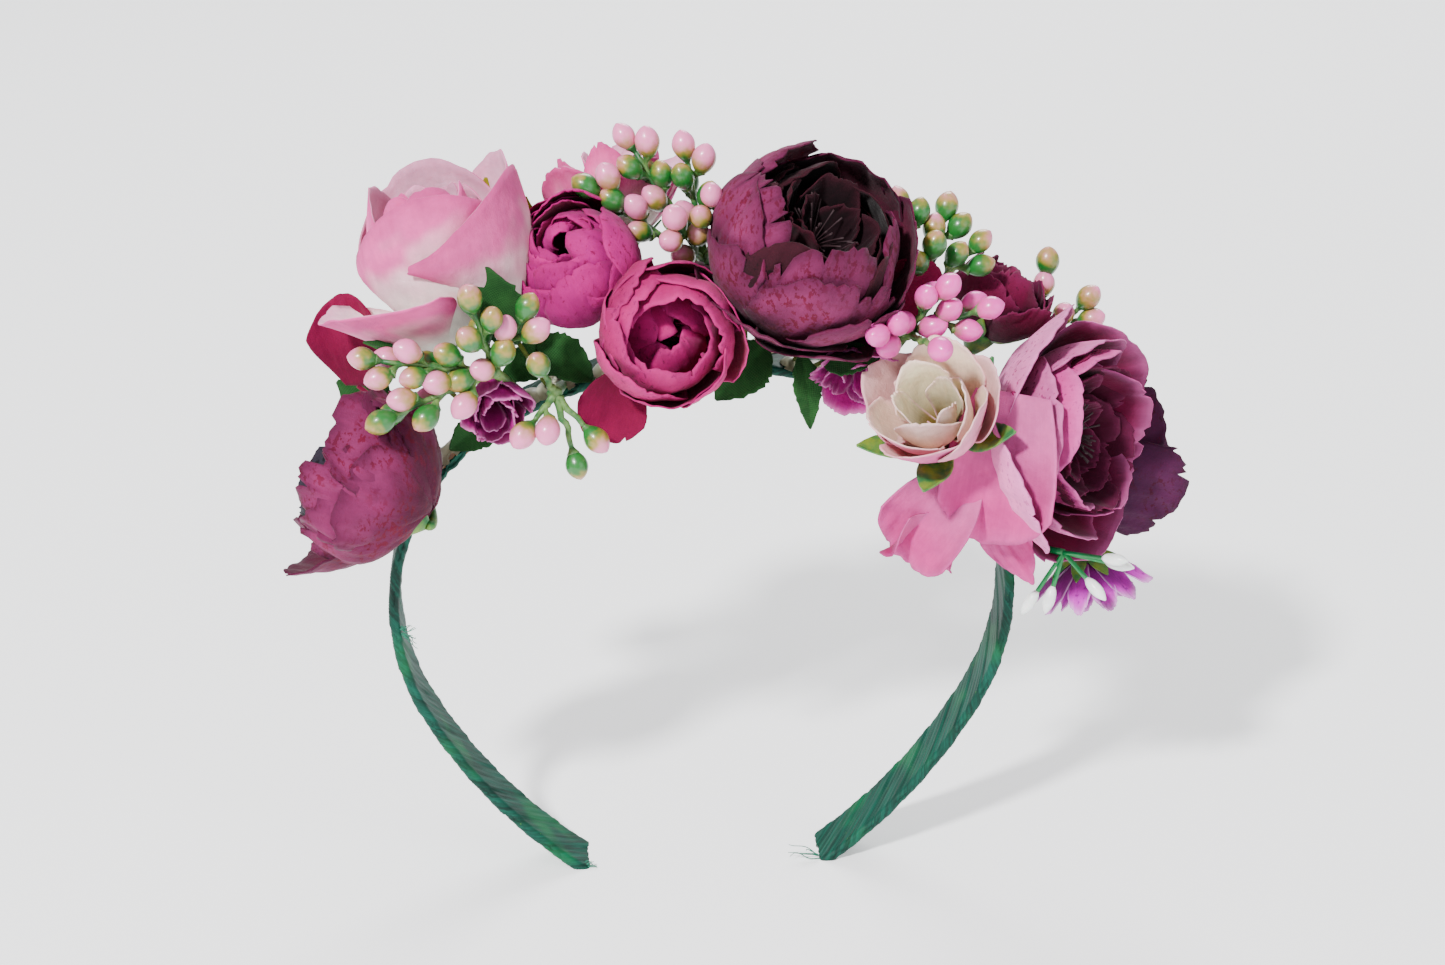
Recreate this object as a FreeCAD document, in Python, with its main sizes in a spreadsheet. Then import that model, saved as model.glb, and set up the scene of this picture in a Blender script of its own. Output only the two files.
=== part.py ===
"""Flower crown: a tape-wrapped spring headband that carries fabric flowers, berry sprays and leaves.

The band stands on its two tips at Z = 0, with X across it and Y from the front to the back.
Lengths are in millimetres and angles in degrees.
"""
import FreeCAD, Part

import math
import os
from collections import namedtuple

from FreeCAD import Placement, Rotation, Vector

SIZES = {
    # The band's centreline, from its widest point up and down.
    "half_span": 66.5,
    "widest_height": 64.0,
    "shoulder_radius": 50.0,
    "shoulder_sweep": 58.0,
    "arm_radius": 54.0,
    "arm_sweep": 28.0,
    "tip_radius": 122.0,
    "tip_sweep": 26.0,
    # The strip and the tape wound on it.
    "core_width": 12.0,
    "core_thickness": 1.5,
    "tape_thickness": 0.6,
    "tip_fold": 1.0,
    "flex_gap": 0.3,
    # What every flower, spray and leaf shares.
    "petal_wall": 3.0,
    "nesting_gap": 0.2,
    "stem_radius": 1.1,
    "calyx_length": 5.0,
    "stamen_radius": 3.6,
    "berry_radius": 2.4,
    "twig_radius": 0.75,
    "stalk_radius": 0.45,
    "leaf_thickness": 0.8,
    "petal_thickness": 1.2,
    "glue_radius": 3.6,
    "glue_height": 2.0,
    "bud_radius": 1.3,
    "bud_length": 6.0,
}

Bloom = namedtuple("Bloom", "name centre facing radius depth lip")
LARGE_BLOOMS = [
    Bloom("left_peony", (-74, -19, 99), (-0.92, 0.22, -0.3), 19, 14, 25),
    Bloom("blush_rose", (-58, -4, 143), (-0.2, -0.15, 0.97), 19, 18, 30),
    Bloom("left_ranunculus", (-26, -4, 141), (-0.35, -0.6, 0.72), 12.4, 12.2, 50),
    Bloom("middle_ranunculus", (-8, -19, 130), (0.12, -0.95, 0.28), 13, 12.5, 50),
    Bloom("centre_peony", (21, -11, 145), (0.28, -0.75, 0.6), 20, 16, 35),
    Bloom("right_rose", (76, -9, 101), (0.78, -0.6, 0.15), 22, 12, 20),
    Bloom("plum_peony", (92, 24, 86), (0.7, 0.7, -0.1), 14, 12, 30),
]
SMALL_BLOOMS = [
    Bloom("pale_rose", (-17, 17, 150), (-0.1, 0.3, 0.95), 11, 10.5, 75),
    Bloom("cream_rosebud", (45, -27, 116), (-0.1, -0.93, 0.35), 13, 10, 50),
    Bloom("mauve_rose", (65, 11, 127), (0.5, 0.2, 0.85), 10, 9.5, 70),
    Bloom("purple_bud", (-43, -19, 115), (0.15, -0.95, -0.25), 7.5, 7.3, 75),
    Bloom("lilac_bud", (32, -12.5, 118.5), (-0.2, -0.85, -0.5), 6, 5.8, 75),
    Bloom("lilac_daisy", (84, -5, 68), (0.25, -0.1, -0.96), 11, 5, 27),
]
BLOOMS = LARGE_BLOOMS + SMALL_BLOOMS
WITH_STAMENS = {"centre_peony", "right_rose"}

Twig = namedtuple("Twig", "tip berries")
Spray = namedtuple("Spray", "name joint twigs")
SPRAYS = [
    Spray("left_berries", (-43, -24, 125), [
        Twig((-47, -30, 142), 7), Twig((-36, -25, 138), 3),
        Twig((-68, -30, 130), 8), Twig((-65, -32, 118), 7)]),
    Spray("hanging_berries", (-31, -21, 119), [
        Twig((-34, -27, 127), 1), Twig((-37, -28, 113), 2),
        Twig((-23, -24, 110), 1), Twig((-27, -25, 105), 1)]),
    Spray("top_berries", (1, 2, 138), [
        Twig((-23, 0, 156), 6), Twig((-15, 4, 165), 6),
        Twig((-3, 3, 163), 6), Twig((-6, -12, 152), 5), Twig((3, -10, 155), 2)]),
    Spray("upper_right_berries", (45, -3, 131), [
        Twig((42, 4, 150), 3), Twig((52, 6, 148), 3),
        Twig((58, 0, 142), 3), Twig((47, -8, 144), 2)]),
    Spray("pink_berries", (41, -15, 128), [
        Twig((34, -27, 132), 3), Twig((48, -20, 139), 5),
        Twig((57, -18, 134), 4), Twig((45, -34, 131), 1)]),
    Spray("back_berries", (76, 21, 112), [
        Twig((76, 18, 131), 2), Twig((85, 16, 124), 3), Twig((94, 18, 108), 3)]),
]

Leaf = namedtuple("Leaf", "base tip face width")
LEAVES = {
    "left_leaves": [
        Leaf((-38, -16, 128), (-48, -19, 147), (0.2, -1, 0.1), 11),
        Leaf((-57, -17, 123), (-69, -19, 130), (0.1, -0.5, 1), 4),
        Leaf((-36, 10, 130), (-40, 14, 154), (-0.4, 0.9, 0.2), 13),
        Leaf((-62, 12, 96), (-78, 20, 108), (-0.4, 1, 0.2), 12),
    ],
    "centre_leaves": [
        Leaf((13, -9, 124), (2, -14, 114), (-0.2, -1, 0.3), 11),
        Leaf((20, -8, 122), (22, -11, 106), (0.2, -1, 0.1), 6),
        Leaf((24, -12, 121), (36, -17, 124), (0.1, -1, 0.5), 7),
        Leaf((10, 12, 125), (-4, 18, 134), (0.2, 1, 0.4), 12),
        Leaf((38, 12, 122), (52, 18, 134), (0.2, 1, 0.5), 12),
    ],
}

Petal = namedtuple("Petal", "centre face length width root")
LOOSE_PETALS = {
    "turned_petals": [
        Petal((-73, 0, 124), (-0.3, -0.9, 0.4), 10, 9.5, 0.1),
        Petal((-20.5, -18, 118), (0.1, -1, 0.1), 9.5, 8, 0.6),
    ],
    "right_rose_skirt": [
        Petal((56, -29, 101), (-0.2, -0.95, 0.15), 13, 9, 0.5),
        Petal((41, -25, 88), (-0.3, -0.9, 0.1), 11, 9, 0.8),
        Petal((64, -23, 80), (0.1, -0.95, -0.2), 10, 5, 0.8),
    ],
}

BUD_SPRIG = {"joint": (76, -15, 78), "buds": [
    (87, -20, 77), (82, -21, 72), (69, -16, 67), (73, -17, 68), (85, -24, 80)]}

doc = FreeCAD.newDocument("FlowerCrown")
sheet = doc.addObject("Spreadsheet::Sheet", "Sizes")
PARTS = []


def write_sheet():
    """Puts every driving dimension in the sheet, each in a cell with its own name."""
    cells = dict(SIZES)
    for bloom in BLOOMS:
        cells[bloom.name + "_radius"] = bloom.radius
        cells[bloom.name + "_depth"] = bloom.depth
    for row, (alias, value) in enumerate(cells.items(), start=1):
        sheet.set(f"A{row}", alias)
        sheet.set(f"B{row}", str(value))
        sheet.setAlias(f"B{row}", alias)
    doc.recompute()


def bound(kind, name, placement=None, **sizes):
    """A primitive whose sizes follow the sheet. A size is an expression of the sheet's names."""
    item = doc.addObject(kind, name)
    for size, expression in sizes.items():
        item.setExpression(size, expression)
    if placement is not None:
        item.Placement = placement
    return item


def of(alias):
    return "Sizes." + alias


def cut(name, base, *tools):
    """base less the tools."""
    for number, tool in enumerate(tools):
        step = doc.addObject("Part::Cut", f"{name}_{number}" if number < len(tools) - 1 else name)
        step.Base, step.Tool = base, tool
        base = step
    return base


def fuse(name, shapes):
    joined = doc.addObject("Part::MultiFuse", name)
    joined.Shapes = shapes
    return joined


def group(name, shapes):
    """Separate solids kept together as one sub-part."""
    held = doc.addObject("Part::Compound", name)
    held.Links = shapes
    return held


def sub_part(node, item):
    """Names item as a finished sub-part of the crown."""
    item.Label = node
    PARTS.append(item)
    return item


def aimed(position, direction):
    """A placement that carries the local +Z to direction."""
    return Placement(Vector(*position), Rotation(Vector(0, 0, 1), Vector(*direction)))


def rod(name, start, end, radius):
    """A straight round rod between two points."""
    start, end = Vector(*start), Vector(*end)
    rod_ = bound("Part::Cylinder", name, aimed(start, end - start), Radius=radius)
    rod_.Height = (end - start).Length
    return rod_


# --- the band -------------------------------------------------------------------------------

A, SHOULDER, SWEEP = SIZES["half_span"], SIZES["shoulder_radius"], SIZES["shoulder_sweep"]
ARM, ARM_SWEEP, TIP = SIZES["arm_radius"], SIZES["arm_sweep"], SIZES["tip_radius"]
TIP_SWEEP, WIDEST = SIZES["tip_sweep"], SIZES["widest_height"]
TOP = SHOULDER + (A - SHOULDER) / math.cos(math.radians(SWEEP))
TOP_CENTRE = WIDEST - (TOP - SHOULDER) * math.sin(math.radians(SWEEP))
TIP_CENTRE_X = A - ARM + (ARM - TIP) * math.cos(math.radians(ARM_SWEEP))
TIP_CENTRE_Z = WIDEST + (TIP - ARM) * math.sin(math.radians(ARM_SWEEP))
TOP_RADIUS = (
    "(Sizes.shoulder_radius + (Sizes.half_span - Sizes.shoulder_radius)"
    " / cos(Sizes.shoulder_sweep * 1 deg))"
)

Arc = namedtuple("Arc", "x z radius start sweep")
CROWN_ARCS = [
    Arc(A - SHOULDER, WIDEST, of("shoulder_radius"), 0, of("shoulder_sweep")),
    Arc(0, TOP_CENTRE, TOP_RADIUS, SWEEP, "180 - 2 * Sizes.shoulder_sweep"),
    Arc(SHOULDER - A, WIDEST, of("shoulder_radius"), 180 - SWEEP, of("shoulder_sweep")),
]


def arm_arcs(side):
    """The two arcs of an arm, side being 1 on the right and -1 on the left."""
    first, second = -ARM_SWEEP, -ARM_SWEEP - TIP_SWEEP
    if side < 0:
        first, second = 180, 180 + ARM_SWEEP
    return [
        Arc(side * (A - ARM), WIDEST, of("arm_radius"), first, of("arm_sweep")),
        Arc(side * TIP_CENTRE_X, TIP_CENTRE_Z, of("tip_radius"), second, of("tip_sweep")),
    ]


def strip(name, arcs, width, thickness):
    """A bent flat strip: one ring sector for each arc of its centreline."""
    sectors = []
    for number, arc in enumerate(arcs):
        turn = Rotation(Vector(1, 0, 0), 90) * Rotation(Vector(0, 0, 1), arc.start)
        discs = []
        for wall, sign in (("out", "+"), ("in", "-")):
            disc = bound(
                "Part::Cylinder", f"{name}_{wall}{number}", Placement(Vector(arc.x, 0, arc.z), turn),
                Radius=f"{arc.radius} {sign} ({thickness}) / 2", Height=width, Angle=arc.sweep)
            disc.setExpression("Placement.Base.y", f"({width}) / 2")
            discs.append(disc)
        sectors.append(cut(f"{name}_arc{number}", *discs))
    return fuse(name, sectors) if len(sectors) > 1 else sectors[0]


def below(name, height):
    """A block that fills the space under a height, to cut the tips off level."""
    depth = 40.0
    block = bound("Part::Box", name, Placement(Vector(-2 * depth, -depth / 2, 0), Rotation()))
    block.Length, block.Width, block.Height = 4 * depth, depth, depth
    block.setExpression("Placement.Base.z", f"{height} - {depth}")
    return block


def across(name, x, radius, width):
    """A round bar across the band at its widest height, on the line an arm bends about."""
    bar = bound(
        "Part::Cylinder", name, Placement(Vector(x, 0, WIDEST), Rotation(Vector(1, 0, 0), 90)),
        Radius=radius, Height=width)
    bar.setExpression("Placement.Base.y", f"({width}) / 2")
    return bar


CORE_W, CORE_T = of("core_width"), of("core_thickness")
TAPE_W = "Sizes.core_width + 2 * Sizes.tape_thickness"
TAPE_T = "Sizes.core_thickness + 2 * Sizes.tape_thickness"
KNUCKLE = f"({TAPE_T}) / 2"
SOCKET = f"({TAPE_T}) / 2 + Sizes.flex_gap"


def make_band():
    """The plastic strip and the tape wound on it: a crown and two arms that spring outwards.

    Strip and tape are parted at the widest height, where each arm bends. The arm's tape ends
    in a round knuckle on the bending line, and the crown's tape is hollowed round it.
    """
    stop = 2.5
    sockets = [across(f"socket{n}", x, SOCKET, "3 * Sizes.core_width") for n, x in enumerate((-A, A))]
    crown_core = strip("core_bow", CROWN_ARCS, CORE_W, CORE_T)
    level = bound("Part::Box", "core_stop", Placement(Vector(-80, -20, WIDEST - 40 + stop), Rotation()))
    level.Length, level.Width, level.Height = 160, 40, 40
    crown_core = sub_part("core_crown", cut("core_crown", crown_core, level))
    crown_tape = strip("tape_bow", CROWN_ARCS, TAPE_W, TAPE_T)
    sub_part("tape_crown", cut("tape_crown", crown_tape, crown_core, *sockets))
    for side, word in ((-1, "left"), (1, "right")):
        core = strip(f"core_{word}_bend", arm_arcs(side), CORE_W, CORE_T)
        core = cut(f"core_{word}_arm", core, below(f"core_floor_{word}", of("tip_fold")))
        sub_part(f"core_{word}_arm", core)
        tape = strip(f"tape_{word}_bend", arm_arcs(side), TAPE_W, TAPE_T)
        tape = fuse(f"tape_{word}_knuckled", [tape, across(f"knuckle_{word}", side * A, KNUCKLE, TAPE_W)])
        tape = cut(f"tape_{word}_arm", tape, core, below(f"tape_floor_{word}", "0"))
        sub_part(f"tape_{word}_arm", tape)


def band_surface(point):
    """The point of the tape's outer face that is nearest to point, and the way it faces."""
    x, y, z = point
    half_width = SIZES["core_width"] / 2
    lift = SIZES["core_thickness"] / 2 + SIZES["tape_thickness"]
    shoulder_x = math.copysign(A - SHOULDER, x)
    angle = math.degrees(math.atan2(z - TOP_CENTRE, abs(x)))
    if angle > SWEEP:
        cx, cz, radius = 0.0, TOP_CENTRE, TOP
    else:
        cx, cz, radius = shoulder_x, WIDEST, SHOULDER
    outward = Vector(x - cx, 0, max(z - cz, 0.0)).normalize()
    foot = Vector(cx, 0, cz) + outward * (radius + lift)
    foot.y = max(-half_width + 2, min(half_width - 2, y))
    return foot, outward


# --- what the flowers, sprays and leaves share ----------------------------------------------

STEMS = []


def head_place(bloom):
    return aimed(bloom.centre, bloom.facing)


def level_ball(name, placement, radius, half_depth, top=None):
    """A ball cut off level below its middle, and above it at the same depth or at an angle."""
    level = f"asin(min(({half_depth}) / ({radius}); 1))"
    ball = bound("Part::Sphere", name, placement, Radius=radius, Angle1=f"-{level}")
    ball.setExpression("Angle2", level if top is None else f"{top}")
    return ball


def crossed_blooms(start, end, margin):
    """The flower heads that come within margin of the line from start to end."""
    start, end = Vector(*start), Vector(*end)
    line = end - start
    found = []
    for bloom in BLOOMS:
        centre = Vector(*bloom.centre)
        share = max(0.0, min(1.0, (centre - start).dot(line) / line.dot(line)))
        if (start + line * share - centre).Length < bloom.radius + margin:
            found.append(bloom)
    return found


def clear_of_blooms(name, item, blooms):
    """item less the room that each of the flower heads takes up."""
    rooms = []
    for bloom in blooms:
        rooms.append(level_ball(
            f"{name}_beside_{bloom.name}", head_place(bloom),
            f"{of(bloom.name + '_radius')} + {of('nesting_gap')}",
            f"{of(bloom.name + '_depth')} + {of('nesting_gap')}"))
    return cut(name, item, *rooms) if rooms else item


def rooted_stem(name, start, radius):
    """A stem from start to the band, where a dab of glue holds it."""
    start = Vector(*start)
    foot, outward = band_surface(start)
    stem = rod(name, start, foot - outward * 1.5, radius)
    STEMS.append((stem, foot, outward))
    return stem


# --- flowers --------------------------------------------------------------------------------


def make_calyx(bloom, tape):
    """The green cone under a head, with the stem that runs down to the band."""
    place = head_place(bloom)
    back = bloom.depth + SIZES["nesting_gap"] + SIZES["calyx_length"]
    seat = place.multVec(Vector(0, 0, -back))
    cone = bound(
        "Part::Cone", f"{bloom.name}_cone", aimed(seat, bloom.facing),
        Radius1=of("stem_radius"), Radius2=f"{of(bloom.name + '_radius')} * 0.4", Height=of("calyx_length"))
    start = place.multVec(Vector(0, 0, -back + 1))
    stem = rooted_stem(f"{bloom.name}_stem", start, of("stem_radius"))
    crowding = [b for b in crossed_blooms(seat, STEMS[-1][1], 1.5) if b is not bloom]
    stalk = fuse(f"{bloom.name}_stalk", [cone, stem])
    stalk = clear_of_blooms(f"{bloom.name}_clear", stalk, crowding)
    sub_part(f"{bloom.name}_calyx", cut(f"{bloom.name}_calyx", stalk, tape))


def make_large_bloom(bloom, tape):
    """A head of nested pieces: an outer cup of petals, and the closed petals inside it."""
    place = head_place(bloom)
    radius, depth = of(bloom.name + "_radius"), of(bloom.name + "_depth")
    wall, gap = of("petal_wall"), of("nesting_gap")
    mass = level_ball(f"{bloom.name}_mass", place, radius, depth, bloom.lip)
    hollow = level_ball(f"{bloom.name}_hollow", place, f"{radius} - {wall}", f"{depth} - {wall}")
    sub_part(f"{bloom.name}_outer_petals", cut(f"{bloom.name}_outer_petals", mass, hollow))
    inset = f"{wall} - {gap}"
    heart = level_ball(f"{bloom.name}_heart", place, f"{radius} - {inset}", f"{depth} - {inset}")
    if bloom.name in WITH_STAMENS:
        spot = place.multVec(Vector(0, 0, bloom.depth - SIZES["petal_wall"]))
        boss = aimed(spot, bloom.facing)
        ball = bound("Part::Sphere", f"{bloom.name}_boss", boss, Radius=of("stamen_radius"))
        well = bound("Part::Sphere", f"{bloom.name}_well", boss, Radius=f"{of('stamen_radius')} + {gap}")
        heart = cut(f"{bloom.name}_hollowed", heart, well)
        sub_part(f"{bloom.name}_stamens", ball)
    sub_part(f"{bloom.name}_inner_petals", heart)
    make_calyx(bloom, tape)


def make_small_bloom(bloom, tape):
    """A small head whose petals are one bunch."""
    radius, depth = of(bloom.name + "_radius"), of(bloom.name + "_depth")
    mass = level_ball(f"{bloom.name}_bunch", head_place(bloom), radius, depth, bloom.lip)
    sub_part(f"{bloom.name}_petals", mass)
    make_calyx(bloom, tape)


# --- sprays ---------------------------------------------------------------------------------


def out_of_bloom(point, bloom, margin):
    """point, moved out of a flower head by the shortest way if it's in it."""
    place = head_place(bloom)
    local = place.inverse().multVec(point)
    reach, level = bloom.radius + margin, bloom.depth + margin
    if local.Length >= reach or abs(local.z) >= level:
        return point
    if reach - local.Length < level - abs(local.z):
        local = local * (reach / local.Length)
    else:
        local.z = math.copysign(level, local.z)
    return place.multVec(local)


def settle(points, radius, rounds=80):
    """Berries settle: any two that are too near are pushed apart, and none is in a flower."""
    points = [Vector(p) for p in points]
    reach = 2 * radius + 0.1
    for _ in range(rounds):
        for i in range(len(points)):
            for j in range(i):
                gap = points[i] - points[j]
                short = reach - gap.Length
                if short > 0:
                    push = gap.normalize() * (short / 2)
                    points[i] = points[i] + push
                    points[j] = points[j] - push
            for bloom in BLOOMS:
                points[i] = out_of_bloom(points[i], bloom, radius + 0.1)
    return points


def berry_places(joint, twig):
    """The berries spiral round a twig: three to a turn, the last one on its tip."""
    tip = Vector(*twig.tip)
    along = (tip - joint).normalize()
    side = along.cross(Vector(0, 1, 0)).normalize()
    other = along.cross(side)
    places = []
    for number in range(twig.berries - 1):
        back = 2.7 * (twig.berries - 1 - number)
        turn = math.radians(120 * number + 40)
        around = side * math.cos(turn) + other * math.sin(turn)
        places.append(tip - along * back + around * 3.1)
    return places + [tip]


def settled_sprays():
    """Every spray's berries where they rest, as lists of a twig and a place."""
    owners, places = [], []
    for spray in SPRAYS:
        for twig in spray.twigs:
            found = berry_places(Vector(*spray.joint), twig)
            owners += [(spray.name, twig)] * len(found)
            places += found
    settled = {spray.name: [] for spray in SPRAYS}
    for (name, twig), place in zip(owners, settle(places, SIZES["berry_radius"])):
        settled[name].append((twig, place))
    return settled


def make_spray(spray, berries, tape):
    """A branching plastic twig with a foam berry pushed on to the end of each stalk."""
    joint = Vector(*spray.joint)
    rods = [rooted_stem(f"{spray.name}_main", joint, of("stem_radius"))]
    rods.append(bound(
        "Part::Sphere", f"{spray.name}_knot", aimed(joint, (0, 0, 1)), Radius="Sizes.stem_radius * 1.4"))
    crossed = crossed_blooms(joint, STEMS[-1][1], 1.5)
    balls = []
    for number, twig in enumerate(spray.twigs):
        line = Vector(*twig.tip) - joint
        end = joint + line * max(1 - 4.5 / line.Length, 0.3)
        rods.append(rod(f"{spray.name}_twig{number}", joint, end, of("twig_radius")))
        crossed += crossed_blooms(joint, twig.tip, 1.5)
    for number, (twig, place) in enumerate(berries):
        along = (Vector(*twig.tip) - joint).normalize()
        fork = joint + along * max(0.0, (place - joint).dot(along) - 5.0)
        way = place - fork
        end = place - way.normalize() * (SIZES["berry_radius"] * 0.6)
        rods.append(rod(f"{spray.name}_stalk{number}", fork, end, of("stalk_radius")))
        balls.append(bound(
            "Part::Sphere", f"{spray.name}_ball{number}", aimed(place, way), Radius=of("berry_radius")))
        crossed += crossed_blooms(fork, place, 1.0)
    sub_part(spray.name, group(spray.name, balls))
    unique = [bloom for bloom in BLOOMS if bloom in crossed]
    twigs = clear_of_blooms(f"{spray.name}_clear", fuse(f"{spray.name}_branching", rods), unique)
    sub_part(f"{spray.name}_twigs", cut(f"{spray.name}_twigs", twigs, tape))


def make_bud_sprig(tape):
    """White plastic buds on bright green stalks."""
    joint = Vector(*BUD_SPRIG["joint"])
    rods = [rooted_stem("bud_main", joint, of("twig_radius"))]
    buds = []
    for number, place in enumerate(BUD_SPRIG["buds"]):
        way = (Vector(*place) - joint).normalize()
        base = Vector(*place) - way * (SIZES["bud_length"] / 2)
        rods.append(rod(f"bud_stalk{number}", joint, base + way, of("stalk_radius")))
        buds.append(bound(
            "Part::Cone", f"white_bud{number}", aimed(base, way),
            Radius1=of("bud_radius"), Radius2="Sizes.bud_radius * 0.5", Height=of("bud_length")))
    sub_part("white_buds", group("white_buds", buds))
    sub_part("white_bud_stalks", cut("white_bud_stalks", fuse("bud_branching", rods), tape))


# --- leaves and loose petals ----------------------------------------------------------------


def on_stalk(name, blank, start, end, margin, tape):
    """A blank on a wire stalk to the band, both cut back where flower heads crowd them."""
    stalk = rooted_stem(f"{name}_wire", start, of("stalk_radius"))
    crowding = crossed_blooms(start, end, margin) + crossed_blooms(start, STEMS[-1][1], 1.0)
    unique = [bloom for bloom in BLOOMS if bloom in crowding]
    joined = clear_of_blooms(f"{name}_clear", fuse(f"{name}_wired", [blank, stalk]), unique)
    return cut(name, joined, tape)


def make_leaf(name, leaf, tape):
    """A pointed blank: what two discs share, as long as the leaf and as wide."""
    base, tip = Vector(*leaf.base), Vector(*leaf.tip)
    length = (tip - base).Length
    radius = (length * length + leaf.width * leaf.width) / 4 / leaf.width
    offset = radius - leaf.width / 2
    along = (tip - base).normalize()
    face = Vector(*leaf.face)
    face = (face - along * face.dot(along)).normalize()
    side = face.cross(along)
    turn = Rotation(side, along, face, "ZXY")
    discs = []
    for number, way in enumerate((-1, 1)):
        centre = (base + tip) / 2 + side * (way * offset) - face * (SIZES["leaf_thickness"] / 2)
        disc = bound(
            "Part::Cylinder", f"{name}_disc{number}", Placement(centre, turn), Height=of("leaf_thickness"))
        disc.Radius = radius
        discs.append(disc)
    blank = doc.addObject("Part::MultiCommon", f"{name}_blank")
    blank.Shapes = discs
    return on_stalk(name, blank, base + along * 2, leaf.tip, leaf.width / 2, tape)


def make_petal(name, petal, tape):
    """A loose petal: an oval blank, longest up and down, clear of the heads beside it."""
    face = Vector(*petal.face).normalize()
    side = Vector(0, 0, 1).cross(face).normalize()
    up = face.cross(side)
    centre = Vector(*petal.centre)
    outline = doc.addObject("Part::Ellipse", f"{name}_outline")
    outline.MajorRadius, outline.MinorRadius = petal.length, petal.width
    outline.Placement = Placement(centre, Rotation(up, -side, face, "ZXY"))
    blank = doc.addObject("Part::Extrusion", f"{name}_blank")
    blank.Base, blank.DirMode, blank.Dir, blank.Solid = outline, "Custom", face, True
    blank.setExpression("LengthFwd", of("petal_thickness"))
    low, high = centre - up * petal.length, centre + up * petal.length
    return on_stalk(name, blank, low + (high - low) * petal.root, high, petal.width, tape)


# --- the whole crown ------------------------------------------------------------------------


def make_glue(tape):
    """A dab of hot glue round the foot of every stem."""
    height, reach = SIZES["glue_height"], SIZES["glue_radius"]
    ball = (reach * reach + height * height) / (2 * height)
    dabs = []
    for number, (_, foot, outward) in enumerate(STEMS):
        centre = foot - outward * (ball - height)
        dab = bound("Part::Sphere", f"dab{number}", aimed(centre, outward))
        dab.Radius = ball
        dab.Angle1 = math.degrees(math.asin((ball - height - 0.5) / ball))
        dabs.append(dab)
    stems = fuse("stems", [stem for stem, _, _ in STEMS])
    sub_part("glue_dabs", cut("glue_dabs", fuse("dabs", dabs), tape, stems))


def make_crown():
    make_band()
    tape = strip("tape_solid", CROWN_ARCS, TAPE_W, TAPE_T)
    for bloom in LARGE_BLOOMS:
        make_large_bloom(bloom, tape)
    for bloom in SMALL_BLOOMS:
        make_small_bloom(bloom, tape)
    berries = settled_sprays()
    for spray in SPRAYS:
        make_spray(spray, berries[spray.name], tape)
    make_bud_sprig(tape)
    for node, leaves in LEAVES.items():
        blanks = [make_leaf(f"{node}{number}", leaf, tape) for number, leaf in enumerate(leaves)]
        sub_part(node, group(node, blanks))
    for node, petals in LOOSE_PETALS.items():
        blanks = [make_petal(f"{node}{number}", petal, tape) for number, petal in enumerate(petals)]
        sub_part(node, group(node, blanks))
    make_glue(tape)


def write_parts():
    """Checks every object and writes each sub-part to its own file."""
    doc.recompute()
    failed = [o.Name for o in doc.Objects if {"Invalid", "Error"} & set(o.State)]
    failed += [p.Label for p in PARTS if p.Shape.isNull() or not p.Shape.isValid() or not p.Shape.Solids]
    if failed:
        raise SystemExit(f"these did not build: {failed}")
    os.makedirs("parts", exist_ok=True)
    for old in os.listdir("parts"):
        os.remove(os.path.join("parts", old))
    for part in PARTS:
        part.Shape.exportStep(os.path.join("parts", part.Label + ".step"))
        print(f"{part.Label}: {len(part.Shape.Solids)} solids, {part.Shape.Volume / 1000:.2f} cm3")
    print(len(PARTS), "sub-parts")


write_sheet()
make_crown()
write_parts()
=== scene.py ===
"""The looks of a flower crown: cloth flowers, foam berries and leaves on a tape-wound headband."""

import logging
import math
from dataclasses import dataclass
from enum import Enum

import bpy
import numpy as np
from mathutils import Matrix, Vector


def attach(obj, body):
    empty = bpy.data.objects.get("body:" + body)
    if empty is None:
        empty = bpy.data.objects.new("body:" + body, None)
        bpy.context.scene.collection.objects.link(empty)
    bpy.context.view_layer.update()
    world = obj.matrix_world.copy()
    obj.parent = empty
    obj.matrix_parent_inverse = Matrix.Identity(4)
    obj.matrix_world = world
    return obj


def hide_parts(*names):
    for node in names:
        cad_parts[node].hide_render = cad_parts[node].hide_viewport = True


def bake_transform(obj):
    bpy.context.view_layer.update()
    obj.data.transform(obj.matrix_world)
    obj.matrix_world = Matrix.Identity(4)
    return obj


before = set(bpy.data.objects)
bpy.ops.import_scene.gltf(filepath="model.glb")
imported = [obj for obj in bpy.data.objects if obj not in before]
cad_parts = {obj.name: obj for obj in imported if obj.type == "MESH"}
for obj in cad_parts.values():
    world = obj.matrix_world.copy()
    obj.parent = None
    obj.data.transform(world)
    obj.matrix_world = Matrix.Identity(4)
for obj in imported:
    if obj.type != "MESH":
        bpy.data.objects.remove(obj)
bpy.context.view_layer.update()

MM = 0.001
LOG = logging.getLogger("flower_crown")


# --- meshes as arrays ---------------------------------------------------------------------------


@dataclass
class Surface:
    """A mesh being made, in millimetres.

    Attributes:
        points: Vertex places, one row each.
        quads: Four-cornered faces as vertex numbers.
        tris: Three-cornered faces as vertex numbers.
        crisp: True for each quad that is shaded flat, such as the cut rim of a cloth.
        uv: A place on the piece's own pattern for each vertex.
        values: Named values for each vertex, which the materials read.
    """

    points: np.ndarray
    quads: np.ndarray
    tris: np.ndarray
    crisp: np.ndarray
    uv: np.ndarray
    values: dict[str, np.ndarray]

    def placed(self, turn: np.ndarray, offset: np.ndarray) -> "Surface":
        """Carries the surface into another frame.

        Args:
            turn: Three rows, the new frame's directions of local X, Y and Z.
            offset: Where the local origin goes.

        Returns:
            The same surface, turned and then moved.
        """
        return Surface(self.points @ turn + offset, self.quads, self.tris, self.crisp, self.uv, self.values)


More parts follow.
